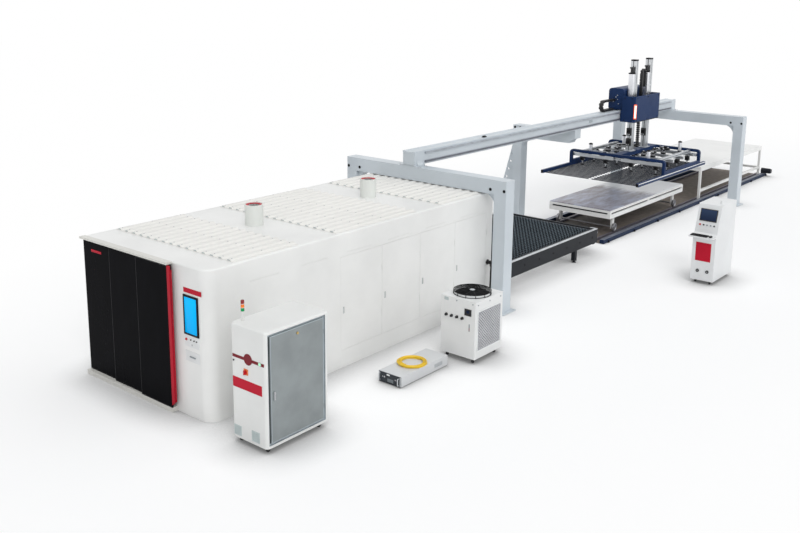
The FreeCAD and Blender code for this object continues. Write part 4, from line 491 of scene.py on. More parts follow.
addStage(lights)
for lampName in ("keySun", "fillSun", "topSun"):
    addSun(lampName, lights)
bpy.context.scene.view_settings.view_transform = "Standard"
print("stage and lamps")


def useOnly(*pieces):
    bpy.ops.object.select_all(action="DESELECT")
    for piece in pieces:
        piece.select_set(True)
    bpy.context.view_layer.objects.active = pieces[0]


def placeInMesh():
    bpy.ops.object.transform_apply(location=True, rotation=True, scale=True)
    return bpy.context.object


def applyModifier(piece, kind, **settings):
    modifier = piece.modifiers.new(kind.lower(), kind)
    for key, value in settings.items():
        setattr(modifier, key, value)
    useOnly(piece)
    bpy.ops.object.modifier_apply(modifier=modifier.name)
    return piece


def softenEdges(piece, width, steps=2, angle=30):
    return applyModifier(piece, "BEVEL", width=width, segments=steps, limit_method="ANGLE",
                         angle_limit=math.radians(angle))


def addBlock(x0, x1, y0, y1, z0, z1, edge=0.0015, steps=2):
    bpy.ops.object.select_all(action="DESELECT")
    low, high = at(x0, y0, z0), at(x1, y1, z1)
    bpy.ops.mesh.primitive_cube_add(size=1, location=(low + high) / 2, scale=high - low)
    block = placeInMesh()
    return softenEdges(block, edge, steps) if edge else block


def addRod(start, end, radius, sides=24, edge=0.0):
    bpy.ops.object.select_all(action="DESELECT")
    first, last = at(*start), at(*end)
    run = last - first
    bpy.ops.mesh.primitive_cylinder_add(vertices=sides, radius=radius, depth=run.length,
                                        location=(first + last) / 2,
                                        rotation=run.to_track_quat("Z", "Y").to_euler())
    rod = placeInMesh()
    return softenEdges(rod, edge, 2, 60) if edge else rod


def addRing(place, reach, wire):
    bpy.ops.object.select_all(action="DESELECT")
    bpy.ops.mesh.primitive_torus_add(major_segments=72, minor_segments=8, major_radius=reach,
                                     minor_radius=wire, location=at(*place))
    return placeInMesh()


def addGrid(place, size, turn, across, up):
    bpy.ops.object.select_all(action="DESELECT")
    bpy.ops.mesh.primitive_grid_add(x_subdivisions=across, y_subdivisions=up, size=1,
                                    location=place, rotation=turn)
    bpy.context.object.scale = (*size, 1)
    return placeInMesh()


def choose(piece, kind, test):
    # edit mode with only those faces, edges or vertices selected that pass the test
    useOnly(piece)
    bpy.ops.object.mode_set(mode="EDIT")
    bpy.ops.mesh.select_mode(type=kind)
    bpy.ops.mesh.select_all(action="DESELECT")
    mesh = bmesh.from_edit_mesh(piece.data)
    for element in {"FACE": mesh.faces, "EDGE": mesh.edges, "VERT": mesh.verts}[kind]:
        if test(element):
            element.select_set(True)
    bmesh.update_edit_mesh(piece.data)


alike = {"turn": 0.95, "depth": 0.0004}      # faces that look and lie alike are worked together


def shapeFace(piece, facing, steps):
    # the outermost faces that look along the direction are inset and pushed, step by step
    direction = Vector(facing)
    centres = [f.center.dot(direction) for f in piece.data.polygons
               if f.normal.dot(direction) > alike["turn"]]
    reach = max(centres) - alike["depth"]
    choose(piece, "FACE", lambda f: f.normal.dot(direction) > alike["turn"]
           and f.calc_center_median().dot(direction) > reach)
    for margin, push in steps:
        if margin:
            bpy.ops.mesh.inset(thickness=margin, depth=0)
        if push:
            bpy.ops.mesh.extrude_region_move(TRANSFORM_OT_translate={"value": direction * push})
    bpy.ops.object.mode_set(mode="OBJECT")
    return piece


def cutThrough(piece, facing, margin, edge=0.0):
    # both broad faces are inset and bridged, which leaves a frame
    direction = Vector(facing)
    choose(piece, "FACE", lambda f: abs(f.normal.dot(direction)) > alike["turn"])
    bpy.ops.mesh.inset(thickness=margin, depth=0)
    bpy.ops.mesh.bridge_edge_loops()
    bpy.ops.object.mode_set(mode="OBJECT")
    return softenEdges(piece, edge) if edge else piece


def joinPieces(pieces):
    useOnly(*pieces)
    if len(pieces) > 1:
        bpy.ops.object.join()
    return bpy.context.object


def repeated(piece, moves):
    # a copy with its own mesh for each move, joined into one piece
    copies = []
    for move in moves:
        turn = move if isinstance(move, Matrix) else Matrix.Translation(Vector(move))
        twin = piece.copy()
        twin.data = piece.data.copy()
        twin.data.transform(turn)
        bpy.context.scene.collection.objects.link(twin)
        copies.append(twin)
    bpy.data.objects.remove(piece)
    return joinPieces(copies)


def turnAbout(place, axis, degrees):
    centre = at(*place)
    return (Matrix.Translation(centre) @ Matrix.Rotation(math.radians(degrees), 4, axis)
            @ Matrix.Translation(-centre))


def dressed(piece, finish):
    piece.data.materials.clear()
    piece.data.materials.append(finishes[finish])
    return piece


def finishPiece(piece, name, body, finish, smooth=40):
    piece.name = name
    piece.data.name = name
    if finish:
        dressed(piece, finish)
    useOnly(piece)
    bpy.ops.object.shade_smooth_by_angle(angle=math.radians(smooth))
    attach(piece, body)
    return piece


def addPieces(body, pieces):
    # each piece: its block or rod, the worked face with (inset, push) steps, places of copies
    for name, look in pieces.items():
        piece = addBlock(*look["block"]) if "block" in look else addRod(*look["rod"])
        if "steps" in look:
            shapeFace(piece, look["face"], look["steps"])
        if "places" in look:
            piece = repeated(piece, look["places"])
        finishPiece(piece, name, body, look["finish"])


def makePart(make, measures, facing=None, steps=()):
    part = make(*measures)
    return shapeFace(part, facing, steps) if facing else part


def assembled(*rows):
    # rows of finish, shape, its measures, worked face and (inset, push) steps
    parts = [makePart(*row) for finish, *row in rows]
    for part, row in zip(parts, rows):
        if row[0]:
            dressed(part, row[0])
    return joinPieces(parts)


def addBolt(place, facing, radius, high):
    first, direction = Vector(place), Vector(facing)
    washer = addRod(first - direction * 0.0005, first + direction * 0.003, radius * 1.5, 20)
    head = addRod(first + direction * 0.002, first + direction * high, radius, 6)
    return joinPieces([washer, shapeFace(head, direction, [(radius * 0.25, 0.0015)])])


doorTrim = {"width": 0.014, "proud": 0.0018, "bottom": 0.078, "top": 2.364, "leaves": {
    "near_leaf": (-0.107, -0.755, 0.0203), "middle_leaf": (-0.073, 0.0063, 0.7836),
    "line": (-0.039, 0.7697, 1.547)}}
for body, (face, y0, y1) in doorTrim["leaves"].items():
    width, bottom, top = (doorTrim[key] for key in ("width", "bottom", "top"))
    bars = [addBlock(face - doorTrim["proud"], face + 0.0005, *bar) for bar in (
        (y1 - width, y1, bottom, top), (y0, y1 - width, bottom, bottom + width),
        (y0, y1 - width, top - width, top))]
    finishPiece(joinPieces(bars), "leafTrim_" + body, body, "trimBlack")

# a black insert at the top of the red handle, and a thin black strip down the gap behind the handle
# that is painted shadow
handleInsertAndShadow = assembled(
    (None, addBlock, (-0.0828, -0.0625, -0.8225, -0.7705, 2.296, 2.357, 0.002)),
    (None, addBlock, (-0.0865, -0.0820, -0.8232, -0.8205, 0.130, 2.340, 0.001)))
finishPiece(handleInsertAndShadow, "handleInsertAndShadow", "near_leaf", "trimBlack")
plateLip = (0.002, -0.0008)
addPieces("line", {
    "leafPlate": {"finish": "plateRed", "slot": "handle_red",
                  "block": (-0.042, -0.0386, 1.050, 1.330, 2.170, 2.212, 0.0012), "face": toFront,
                  "steps": [(0.004, 0), plateLip]},
    "screenBezel": {"finish": "trimBlack", "slot": "door_black",
                    "block": (-0.0185, 0.0005, -1.350, -1.006, 1.328, 1.952, 0.004, 3),
                    "face": toFront, "steps": [(0.025, 0), (0.0015, -0.0035)]},
    "screenPane": {"finish": "screenBlue", "slot": "door_black",
                   "block": (-0.0156, -0.0145, -1.320, -1.036, 1.358, 1.922, 0.0004)},
    "panelPlate": {"finish": "plateRed", "slot": "handle_red",
                   "block": (-0.0030, 0.0004, -1.425, -1.010, 1.985, 2.062, 0.0012),
                   "face": toFront, "steps": [(0.006, 0), plateLip]},
    "frontKeyCaps": {"finish": "keysBlack", "slot": "keys_black",
                     "rod": ((-0.0062, 0, 1.258), (-0.0165, 0, 1.258), 0.0105, 20), "face": toFront,
                     "steps": [(0.0022, 0), (0.0012, 0.0022), (0.002, -0.0008)],
                     "places": [(0, y, 0) for y in (-1.154, -1.230, -1.288)]},
    "panelLock": {"finish": "headSteel", "slot": "head_metal",
                  "rod": ((-0.0062, -1.178, 1.180), (-0.0140, -1.178, 1.180), 0.0125),
                  "face": toFront,
                  "steps": [(0.002, 0), (0.0015, 0.001), (0.006, 0), (0.0012, -0.003)]},
})
addPieces("drawer", {
    "drawerPull": {"finish": "trimGrey", "slot": "panel_white",
                   "block": (-0.0130, 0.0004, -1.245, -1.111, 0.972, 0.990, 0.004, 3),
                   "face": (0, 0, -1), "steps": [(0.003, -0.006)]},
})
print("front door and operator panel")

roof = {"ribs": 15, "starts": (0.560, 2.800, 5.700), "screws": (0.06, 0.66, 1.26)}
roofLow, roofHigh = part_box("roof_sheets")
ribPitch = (roofHigh.y - roofLow.y) / roof["ribs"]
ribMiddles = [roofLow.y + rowOrigin[1] + (i + 0.5) * ribPitch for i in range(roof["ribs"])]
ribEndTop = roofHigh.z - 0.003
addPieces("line", {
    # pale grey caps at each rib's front end: painted shade in the open ends of the corrugations
    "ribEndShadeCaps": {"finish": "paleGrille", "slot": "body_white",
                 "block": (0, 0.003, -0.030, 0.030, ribEndTop - 0.016, ribEndTop, 0.0012),
                 "face": toFront, "steps": [(0.003, 0.0015)],
                 "places": [(start - 0.0025, y, 0) for start in roof["starts"]
                            for y in ribMiddles]},
    "roofScrews": {"finish": "wheelSteel", "slot": "mast_silver",
                   "rod": ((0, 0, ribEndTop + 0.0022), (0, 0, ribEndTop + 0.0062), 0.011, 6),
                   "face": toTop, "steps": [(0.003, 0.0015)],
                   "places": [(start + reach, y, 0) for start in roof["starts"]
                              for reach in roof["screws"] for y in ribMiddles]},
})

# heights and radius of the disc that each round part is made from
vents = {"places": (2.320, 5.300), "ring": (2.7477, 2.7580, 0.1465), "ringWall": 0.0465,
         "damper": (2.700, 2.704, 0.147), "bead": (2.748, 2.7695, 0.1625), "beadWall": 0.0155}
for number, x in enumerate(vents["places"], 1):
    ring, damper, bead = [((x, 0, low), (x, 0, high), radius, 48) for low, high, radius in (
        vents["ring"], vents["damper"], vents["bead"])]
    finishPiece(cutThrough(addRod(*ring), toTop, vents["ringWall"], 0.002),
                "ventRing_%d" % number, "line", "plateRed")
    lid = shapeFace(addRod(*damper, 0.001), toTop,
                    [(0.02, 0), (0.004, 0.004), (0.05, 0), (0.004, -0.002)])
    finishPiece(lid, "ventDamper_%d" % number, "line", "trimGrey")
    finishPiece(cutThrough(addRod(*bead), toTop, vents["beadWall"]), "ventBead_%d" % number,
                "line", "ventCream")

sideDoors = {"first": 2.919, "pitch": 1.090, "wall": -1.550, "half": 0.0165}
for index, word in enumerate(("one", "two", "three", "four")):
    x = sideDoors["first"] + index * sideDoors["pitch"]
    addPieces("door_" + word, {
        "pullCup_%d" % (index + 1): {"finish": "trimGrey", "slot": "body_white",
                                     "block": (x - sideDoors["half"], x + sideDoors["half"],
                                               sideDoors["wall"] - 0.0006,
                                               sideDoors["wall"] + 0.0078, 0.981, 1.099, 0.004, 3),
                                     "face": toNear, "steps": [(0.003, 0), (0.002, -0.005)]},
    })
print("roof, vents and side doors")

# the cabinet's narrow wall looks to the front, its door to the near side
wall, inWall = -0.100, -0.0995
cabinetBand = assembled(
    (None, addBlock, (wall - 0.003, inWall, -2.862, -2.208, 1.316, 1.362, 0.001), toFront,
     [(0.004, 0), plateLip]),
    (None, addRod, ((inWall, -2.534, 1.345), (wall - 0.0050, -2.534, 1.345), 0.084, 64), toFront,
     [(0.004, 0.0015), (0.012, 0), (0.002, -0.0015)]))
finishPiece(cabinetBand, "cabinetBand", "line", "bandRed", 30)
cabinetLamp = assembled(
    ("headSteel", addRod,
     ((wall - 0.0025, -2.782, 1.342), (wall - 0.010, -2.782, 1.342), 0.029, 32), toFront,
     [(0.004, -0.002)]),
    ("lampGreen", addRod,
     ((wall - 0.006, -2.782, 1.342), (wall - 0.013, -2.782, 1.342), 0.023, 32), toFront,
     [(0.006, 0.003), (0.006, 0.0015)]))
finishPiece(cabinetLamp, "cabinetLamp", "line", None)
addPieces("line", {
    "cabinetPlate": {"finish": "plateRed", "slot": "handle_red",
                     "block": (wall - 0.003, inWall, -2.812, -2.203, 0.868, 1.022, 0.001),
                     "face": toFront, "steps": [(0.007, 0), plateLip]},
    "cabinetDot": {"finish": "keysBlack", "slot": "keys_black",
                   "rod": ((inWall, -2.233, 1.266), (wall - 0.010, -2.233, 1.266), 0.013),
                   "face": toFront, "steps": [(0.003, 0.003), (0.003, -0.002)]},
    "switchPlate": {"finish": "switchOrange", "slot": "stop_red",
                    "block": (wall - 0.0040, inWall, -2.530, -2.440, 1.103, 1.193, 0.001),
                    "face": toFront, "steps": [(0.006, 0), (0.002, 0.0015)]},
})
grilles = {"places": (((-2.361, -2.208), (0.129, 0.283)), ((-2.744, -2.581), (0.136, 0.298))),
           "pitch": 0.012, "bars": 5}
parts = []
for (y0, y1), (z0, z1) in grilles["places"]:
    rim = addBlock(wall - 0.006, inWall, y0, y1, z0, z1)
    parts.append(shapeFace(rim, toFront, [(0.010, 0), (0.002, -0.004)]))
    slat = addBlock(wall - 0.0062, wall - 0.001, y0 + 0.014, y1 - 0.014, z0 + 0.014, z0 + 0.020,
                    0.0008, 1)
    count = int((z1 - z0 - 0.030) / grilles["pitch"])
    parts.append(repeated(slat, [(0, 0, grilles["pitch"] * i) for i in range(count)]))
    bar = addBlock(wall - 0.0068, wall - 0.001, y0 + 0.018, y0 + 0.022, z0 + 0.010, z1 - 0.010, 0)
    gap = (y1 - y0 - 0.040) / (grilles["bars"] - 1)
    parts.append(repeated(bar, [(0, gap * i, 0) for i in range(grilles["bars"])]))
finishPiece(joinPieces(parts), "cabinetGrilles", "line", "paleGrille")

doorFace = -2.9023
addPieces("line", {
    # a black strip at the back of the gap left of the cabinet door: painted shade in the gap
    "doorGapShade": {"finish": "trimBlack", "slot": "keys_black",
                 "block": (-0.036, -0.023, -2.8815, -2.8775, 0.160, 1.750, 0.002)},
})
edging = addBlock(-0.020, 1.030, doorFace - 0.0022, doorFace + 0.0008, 0.160, 1.750, 0)
finishPiece(cutThrough(edging, toNear, 0.012, 0.001), "doorEdging", "electric_door", "frameBlue")
addPieces("electric_door", {
    "doorLock": {"finish": "brass", "slot": "cabinet_grey",
                 "rod": ((0.505, doorFace + 0.0005, 1.660), (0.505, doorFace - 0.0115, 1.660),
                         0.019, 32), "face": toNear,
                 "steps": [(0.003, 0.002), (0.010, 0), (0.001, -0.004)]},
})
doorLever = assembled(
    (None, addBlock, (0.028, 0.052, -2.9265, -2.9175, 0.803, 0.927, 0.004, 3), toNear,
     [(0.004, 0), (0.002, -0.002)]),
    (None, addRod, ((0.040, -2.918, 0.900), (0.040, -2.9295, 0.900), 0.013, 24, 0.002)))
finishPiece(doorLever, "doorLever", "electric_door", "headSteel")
tower = {"place": (0.060, -2.262), "foot": 1.9545, "pitch": 0.055}
for number in (1, 2):
    z = tower["foot"] + tower["pitch"] * number
    ring = addRod((*tower["place"], z - 0.0042), (*tower["place"], z + 0.001), 0.0275, 32, 0.001)
    finishPiece(ring, "towerRing_%d" % number, "line", "panelWhite")
print("electrical cabinet")

fanX, fanY, chillerTop = 4.875, -2.855, 1.150
guard = {"radius": 0.337, "rings": 15, "wire": 0.0032, "outerWire": 0.00608, "spokes": 12,
         "hub": 0.052, "first": 0.070, "z": 1.206}
outer, z = guard["radius"], guard["z"]
guardWires = []
for index in range(guard["rings"]):
    reach = guard["first"] + index * (outer - guard["first"]) / (guard["rings"] - 1)
    wire = guard["outerWire"] if index == guard["rings"] - 1 else guard["wire"]
    guardWires.append(addRing((fanX, fanY, z - 0.002), reach, wire))
guardWires.append(addRing((fanX, fanY, chillerTop + 0.005), outer, 0.0055))
arm = joinPieces([
    addRod((fanX + guard["hub"] - 0.004, fanY, z + 0.0035),
           (fanX + outer + 0.003, fanY, z + 0.0035), 0.0030, 8),
    addRod((fanX + outer, fanY, chillerTop - 0.001), (fanX + outer, fanY, z + 0.004), 0.0060, 8),
    addBlock(fanX + outer - 0.012, fanX + outer + 0.012, fanY - 0.010, fanY + 0.010,
             chillerTop - 0.0005, chillerTop + 0.003, 0.001)])
guardWires.append(repeated(arm, [turnAbout((fanX, fanY, 0), "Z", 360 / guard["spokes"] * (i + 0.5))
                                 for i in range(guard["spokes"])]))
fanGuard = finishPiece(joinPieces(guardWires), "fanGuard", "line", "guardBlack")
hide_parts("fan_guard")
cowl = addRod((fanX, fanY, chillerTop - 0.001), (fanX, fanY, chillerTop + 0.048), 0.330, 72)
finishPiece(cutThrough(cowl, toTop, 0.006, 0.002), "fanCowl", "line", "panelWhite")
chillerPorts = assembled(
    (None, addRod, ((4.4502, 0, 0.810), (4.4380, 0, 0.810), 0.030, 6, 0.002)),
    (None, addRod, ((4.4385, 0, 0.810), (4.4130, 0, 0.810), 0.0225, 28), toFront,
     [(0.004, 0.001), (0.003, -0.018)]))
portPlaces = [(0, y, 0) for y in (-2.610, -2.725, -2.840, -2.955)]
finishPiece(repeated(chillerPorts, portPlaces), "chillerPorts", "line", "keysBlack")
screwSteps = [(0.003, 0.002), (0.004, -0.002)]
addPieces("line", {
    "guardHub": {"finish": "mastSilver", "slot": "guard_black",
                 "rod": ((fanX, fanY, z - 0.004), (fanX, fanY, z + 0.003), guard["hub"], 32),
                 "face": toTop, "steps": [(0.010, 0.0025), (0.012, 0.0015)]},
    "chillerDisplay": {"finish": "keysBlack", "slot": "keys_black",
                       "block": (4.4405, 4.4502, -3.142, -2.998, 0.878, 1.002, 0.003, 3),
                       "face": toFront, "steps": [(0.012, 0), (0.002, -0.002)]},
    "chillerReadout": {"finish": "screenDark", "slot": "keys_black",
                       "block": (4.4412, 4.4428, -3.100, -3.040, 0.925, 0.972, 0.0004),
                       "face": toFront, "steps": [(0.003, 0.0003)]},
    "levelFrame": {"finish": "trimGrey", "slot": "cabinet_white",
                   "block": (4.4470, 4.4502, -3.114, -3.092, 0.598, 0.732, 0.001), "face": toFront,
                   "steps": [(0.005, 0), (0.0015, -0.0015)]},
    "levelMark": {"finish": "plateRed", "slot": "stop_red",
                  "block": (4.4476, 4.4490, -3.107, -3.099, 0.606, 0.668, 0.0004), "face": toFront,
                  "steps": [(0.001, 0.0003)]},
    "chillerPlate": {"finish": "paleGrille", "slot": "cabinet_white",
                     "block": (4.4478, 4.4502, -2.648, -2.556, 1.070, 1.128, 0.0008),
                     "face": toFront, "steps": [(0.004, 0), (0.001, -0.0005)]},
    "chillerScrews": {"finish": "trimGrey", "slot": "keys_black",
                      "rod": ((4.4502, 0, 1.105), (4.4450, 0, 1.105), 0.012, 20), "face": toFront,
                      "steps": screwSteps, "places": [(0, -2.826, 0), (0, -3.170, 0)]},
    "panelScrews": {"finish": "trimGrey", "slot": "keys_black",
                    "rod": ((0, -3.2298, 1.085), (0, -3.2350, 1.085), 0.012, 20), "face": toNear,
                    "steps": screwSteps, "places": [(4.530, 0, 0), (4.880, 0, 0), (5.220, 0, 0)]},
    # a dark sheet behind the mesh: painted shade in the panel behind it
    "meshShadeSheet": {"finish": "groundDark", "slot": "cabinet_grey",
                    "block": (4.520, 5.230, -3.2308, -3.2295, 0.245, 0.965, 0), "face": toNear,
                    "steps": [(0.004, 0.0004)]},
})
lattice = {"x": (4.524, 5.226), "z": (0.249, 0.961), "cell": 0.054, "wire": 0.0125, "y": -3.2330}


def addLattice(settings):
    # expanded mesh: a grid poked to its middles, its square lines dissolved, then thickened
    (x0, x1), (z0, z1) = settings["x"], settings["z"]
    across, up = (round((high - low) / settings["cell"]) for low, high in ((x0, x1), (z0, z1)))
    piece = addGrid(at((x0 + x1) / 2, settings["y"], (z0 + z1) / 2), (x1 - x0, z1 - z0),
                    (math.pi / 2, 0, 0), across, up)
    choose(piece, "FACE", lambda face: True)
    bpy.ops.mesh.poke()
    bpy.ops.object.mode_set(mode="OBJECT")

    def isSquareLine(edge):
        run = edge.verts[0].co - edge.verts[1].co
        return not edge.is_boundary and min(abs(run.x), abs(run.z)) < 0.0005

    choose(piece, "EDGE", isSquareLine)
    bpy.ops.mesh.dissolve_edges(use_verts=False)
    bpy.ops.object.mode_set(mode="OBJECT")
    return applyModifier(piece, "WIREFRAME", thickness=settings["wire"], use_boundary=True)


finishPiece(addLattice(lattice), "chillerMesh", "line", "meshGrey")
rim = addBlock(4.510, 5.240, -3.2400, -3.2295, 0.235, 0.975, 0)
finishPiece(cutThrough(rim, toNear, 0.016, 0.001), "meshFrame", "line", "panelWhite")
print("chiller")

sourceSlots = {"slots": 9, "vents": 16, "pitch": 0.014}
addPieces("line", {
    "sourceSlots": {"finish": "trimGrey", "slot": "source_silver",
                    "block": (2.8706, 2.8722, -0.004, 0.004, 0.040, 0.100, 0.0006, 1),
                    "face": toFront, "steps": [(0.002, -0.0006)],
                    "places": [(0, -2.700 + sourceSlots["pitch"] * i, 0)
                               for i in range(sourceSlots["slots"])]},
    "sourceLabel": {"finish": "panelWhite", "slot": "source_silver",
                    "block": (2.8700, 2.8722, -2.630, -2.565, 0.150, 0.176, 0.0008),
                    "face": toFront, "steps": [(0.003, 0), (0.001, -0.0004)]},
    "sourceEars": {"finish": "mastSilver", "slot": "source_silver",
                   "block": (2.8690, 2.8722, -0.012, 0.012, 0.020, 0.184, 0.001), "face": toFront,
                   "steps": [(0.003, 0.0006)], "places": [(0, -2.857, 0), (0, -2.403, 0)]},
    "sourceVents": {"finish": "trimGrey", "slot": "source_silver",
                    "block": (0, 0.006, -2.8712, -2.8695, 0.070, 0.140, 0.0006, 1), "face": toNear,
                    "steps": [(0.0015, -0.0006)],
                    "places": [(3.780 + sourceSlots["pitch"] * i, 0, 0)
                               for i in range(sourceSlots["vents"])]},
})
knobs = [shapeFace(addRod((2.8722, y, 0.115), (2.8640, y, 0.115), radius), toFront,
                   [(radius * 0.2, 0.002), (radius * 0.3, -0.002)])
         for y, radius in ((-2.520, 0.014), (-2.480, 0.009), (-2.755, 0.011), (-2.785, 0.006))]
finishPiece(joinPieces(knobs), "sourceKnobs", "line", "headSteel")
glands = [shapeFace(addRod((4.1495, y, 0.100), (4.1750, y, 0.100), radius, 24, 0.002), toBack,
                    [(radius * 0.25, 0.006), (radius * 0.3, -0.012)])
          for y, radius in ((-2.760, 0.028), (-2.660, 0.020), (-2.520, 0.024))]
finishPiece(joinPieces(glands), "sourceGlands", "line", "wheelSteel")
print("laser source")

portals = {"starts": (7.000, 19.930), "depth": 0.300, "bolt": 0.022, "boltHigh": 0.012}
for number, x in enumerate(portals["starts"], 1):
    moves = [(0, side * y, 2.530) for side in (-1, 1) for y in (1.750, 2.075)]
    faceBolts = [
        repeated(addBolt((face, 0, 0), facing, portals["bolt"], portals["boltHigh"]), moves)
        for face, facing in ((x, toFront), (x + portals["depth"], toBack))]
    finishPiece(joinPieces(faceBolts), "portalBolts_%d" % number, "line", "trimBlack")
    saddle = repeated(addBolt((0, 0, 2.7302), toTop, 0.012, 0.014), [
        (x + dx, y, 0) for dx in (0.05, 0.25) for y in (0.060, 0.110, 0.560, 0.610)])
    finishPiece(saddle, "saddleBolts_%d" % number, "line", "headSteel")
supportBolts = repeated(addBolt((13.850, 0, 0), toFront, portals["bolt"], portals["boltHigh"]),
                        [(0, y, z) for y in (1.900, 2.070) for z in (2.470, 2.670)])
finishPiece(supportBolts, "supportBolts", "line", "trimBlack")

beam = {"bolts": 60, "boltStart": 7.45, "boltRun": 12.3}
beamEnds = ((6.974, 6.980, toFront), (20.250, 20.256, toBack))
for number, (low, high, facing) in enumerate(beamEnds, 1):
    cap = addBlock(low, high, 0.186, 0.484, 2.766, 3.046, 0.002)
    finishPiece(shapeFace(cap, facing, [(0.03, 0), (0.004, -0.003)]), "beamCap_%d" % number,
                "line", "portalGrey")
addPieces("line", {
    "railBolts": {"finish": "wheelSteel", "slot": "portal_grey",
                  "rod": ((0, 0.1502, 0), (0, 0.1470, 0), 0.008, 12), "face": toNear,
                  "steps": [(0.003, -0.0015)],
                  "places": [(beam["boltStart"] + beam["boltRun"] * i / beam["bolts"], 0, 3.011)
                             for i in range(beam["bolts"] + 1)]},
    "beamStop": {"finish": "trimBlack", "slot": "portal_grey",
                 "block": (9.60, 9.70, 0.205, 0.275, 3.047, 3.085, 0.004), "face": toTop,
                 "steps": [(0.012, 0.012)]},
    "beamClip": {"finish": "frameBlue", "slot": "portal_grey",
                 "block": (14.60, 14.78, 0.1740, 0.1802, 2.890, 2.950, 0.002), "face": toNear,
                 "steps": [(0.010, 0.004), (0.01, 0.002)]},
})
print("portals and beam")

carriage = {"x": (16.380, 17.970), "front": -0.300, "led": (2.855, 3.268)}
x, y = carriage["x"][0], carriage["front"]
low, high = carriage["led"]
corner = turnAbout((x, y, 0), "Z", 45)
for name, finish, box in (
        ("ledHousing", "ledOrange", (x - 0.014, x + 0.016, y - 0.040, y + 0.040, low, high, 0.008)),
        ("ledCore", "ledWhite", (x - 0.019, x - 0.010, y - 0.024, y + 0.024, low + 0.030,
                                 high - 0.030, 0.004))):
    lamp = addBlock(*box, 3)
    lamp.data.transform(corner)
    finishPiece(lamp, name, "carriage", finish)
apronBolts = joinPieces([
    repeated(addBolt((0, y, 0), toNear, 0.012, 0.010),
             [(boltX, 0, z) for boltX in (16.50, 17.175, 17.86) for z in (2.80, 3.43)]),
    repeated(addBolt((x, 0, 0), toFront, 0.012, 0.010),
             [(0, boltY, z) for boltY in (-0.19, 0.03) for z in (2.80, 3.43)])])
finishPiece(apronBolts, "apronBolts", "carriage", "trimBlack")
addPieces("carriage", {
    "apronLip": {"finish": "trimBlack", "slot": "carriage_navy",
                 "block": (x + 0.02, carriage["x"][1] - 0.02, y - 0.003, y + 0.001, 2.748, 2.766,
                           0.001), "face": toNear, "steps": [(0.003, 0.001)]},
})
fittings = [assembled((None, addRod, ((16.4505, y, z), (16.4300, y, z), 0.014, 6, 0.001)),
                      (None, addRod, ((16.4310, y, z), (16.4150, y, z), 0.009, 16), toFront,
                       [(0.003, -0.008)]))
            for y, z in ((0.300, 3.480), (0.345, 3.430), (0.300, 3.360), (0.255, 3.240),
                         (0.420, 3.300))]
finishPiece(joinPieces(fittings), "airFittings", "carriage", "mastSilver")

masts = {"x": (16.800, 17.750), "half": 0.080, "cap": 0.0805, "top": 4.500, "low": 1.892}
guide = {"offset": 0.138, "half": 0.056, "deep": 0.078, "z": (3.300, 4.100), "plateDeep": 0.088,
         "plate": (4.098, 4.126)}
caps, strips, sleeves, plates = [], [], [], []
for x in masts["x"]:
    half, top, wide = masts["half"], masts["top"], masts["cap"]
    caps.append(addBlock(x - wide, x + wide, -wide, wide, top - 0.040, top - 0.0005, 0.004, 3))
    for turn in range(4):
        strip = addBlock(x - half + 0.006, x - half + 0.012, -0.0195, 0.0195, masts["low"],
                         top - 0.045, 0.001, 1)
        strip.data.transform(turnAbout((x, 0, 0), "Z", 90 * turn))
        strips.append(strip)
    middle = x - guide["offset"]
    ends = (middle - guide["half"], middle + guide["half"])
    sleeves.append(addBlock(*ends, -guide["deep"], guide["deep"], *guide["z"], 0.018, 3))
    plate = addBlock(*ends, -guide["plateDeep"], guide["plateDeep"], *guide["plate"], 0.004)
    plates.append(shapeFace(plate, toTop, [(0.020, 0.010)]))
finishPiece(joinPieces(caps), "mastCaps", "lift", "trimBlack")
finishPiece(joinPieces(strips), "mastGrooves", "lift", "trimBlack")
finishPiece(joinPieces(sleeves), "cylinderGuides", "carriage", "cylinderSilver")
finishPiece(joinPieces(plates), "guidePlates", "carriage", "trimBlack")

bars = (16.090, 16.803, 17.517, 18.230)     # the suction bars' starts along the line
barMiddles = [x + 0.040 for x in bars]
addPieces("lift", {
    "lowerChain": {"finish": "chainBlack", "slot": "chain_black",
                   "block": (-0.050, 0.050, -0.040, 0.040, 0, 0.052, 0.010), "face": toFront,
                   "steps": [(0.012, -0.004)],
                   "places": [(17.300, 0.010, 1.910 + 0.062 * i) for i in range(16)]},
    "barClamps": {"finish": "trimBlack", "slot": "mast_silver",
                  "block": (-0.030, 0.030, -0.045, 0.045, 1.7495, 1.768, 0.003), "face": toTop,
                  "steps": [(0.014, 0.012), (0.006, 0.006)],
                  "places": [(x, y, 0) for x in barMiddles for y in (-1.04, -0.20, 0.20, 1.04)]},
    "hoopBrackets": {"finish": "mastSilver", "slot": "mast_silver",
                     "block": (-0.012, 0.012, -0.070, 0.070, 1.745, 1.862, 0.003), "face": toFront,
                     "steps": [(0.012, 0.003)],
                     "places": [(x, y, -0.02) for x in (16.036, 18.364) for y in (-0.30, 0.30)]},
})
print("carriage and masts")

slotLines = []
for x in bars:
    for face in (x - 0.0006, x + 0.0794):
        slotLines.append(addBlock(face, face + 0.0012, -1.300, 1.300, 1.704, 1.716, 0))
    slotLines.append(addBlock(x + 0.034, x + 0.046, -1.300, 1.300, 1.7494, 1.7506, 0))
for side in (-1, 1):
    for y0, y1, z0, z1 in ((1.1194, 1.1206, 1.784, 1.796), (1.1994, 1.2006, 1.784, 1.796),
                           (1.154, 1.166, 1.8294, 1.8306)):
        slotLines.append(addBlock(16.04, 18.36, *sorted((side * y0, side * y1)), z0, z1, 0))
finishPiece(softenEdges(joinPieces(slotLines), 0.0002, 1), "profileSlots", "lift", "trimBlack")

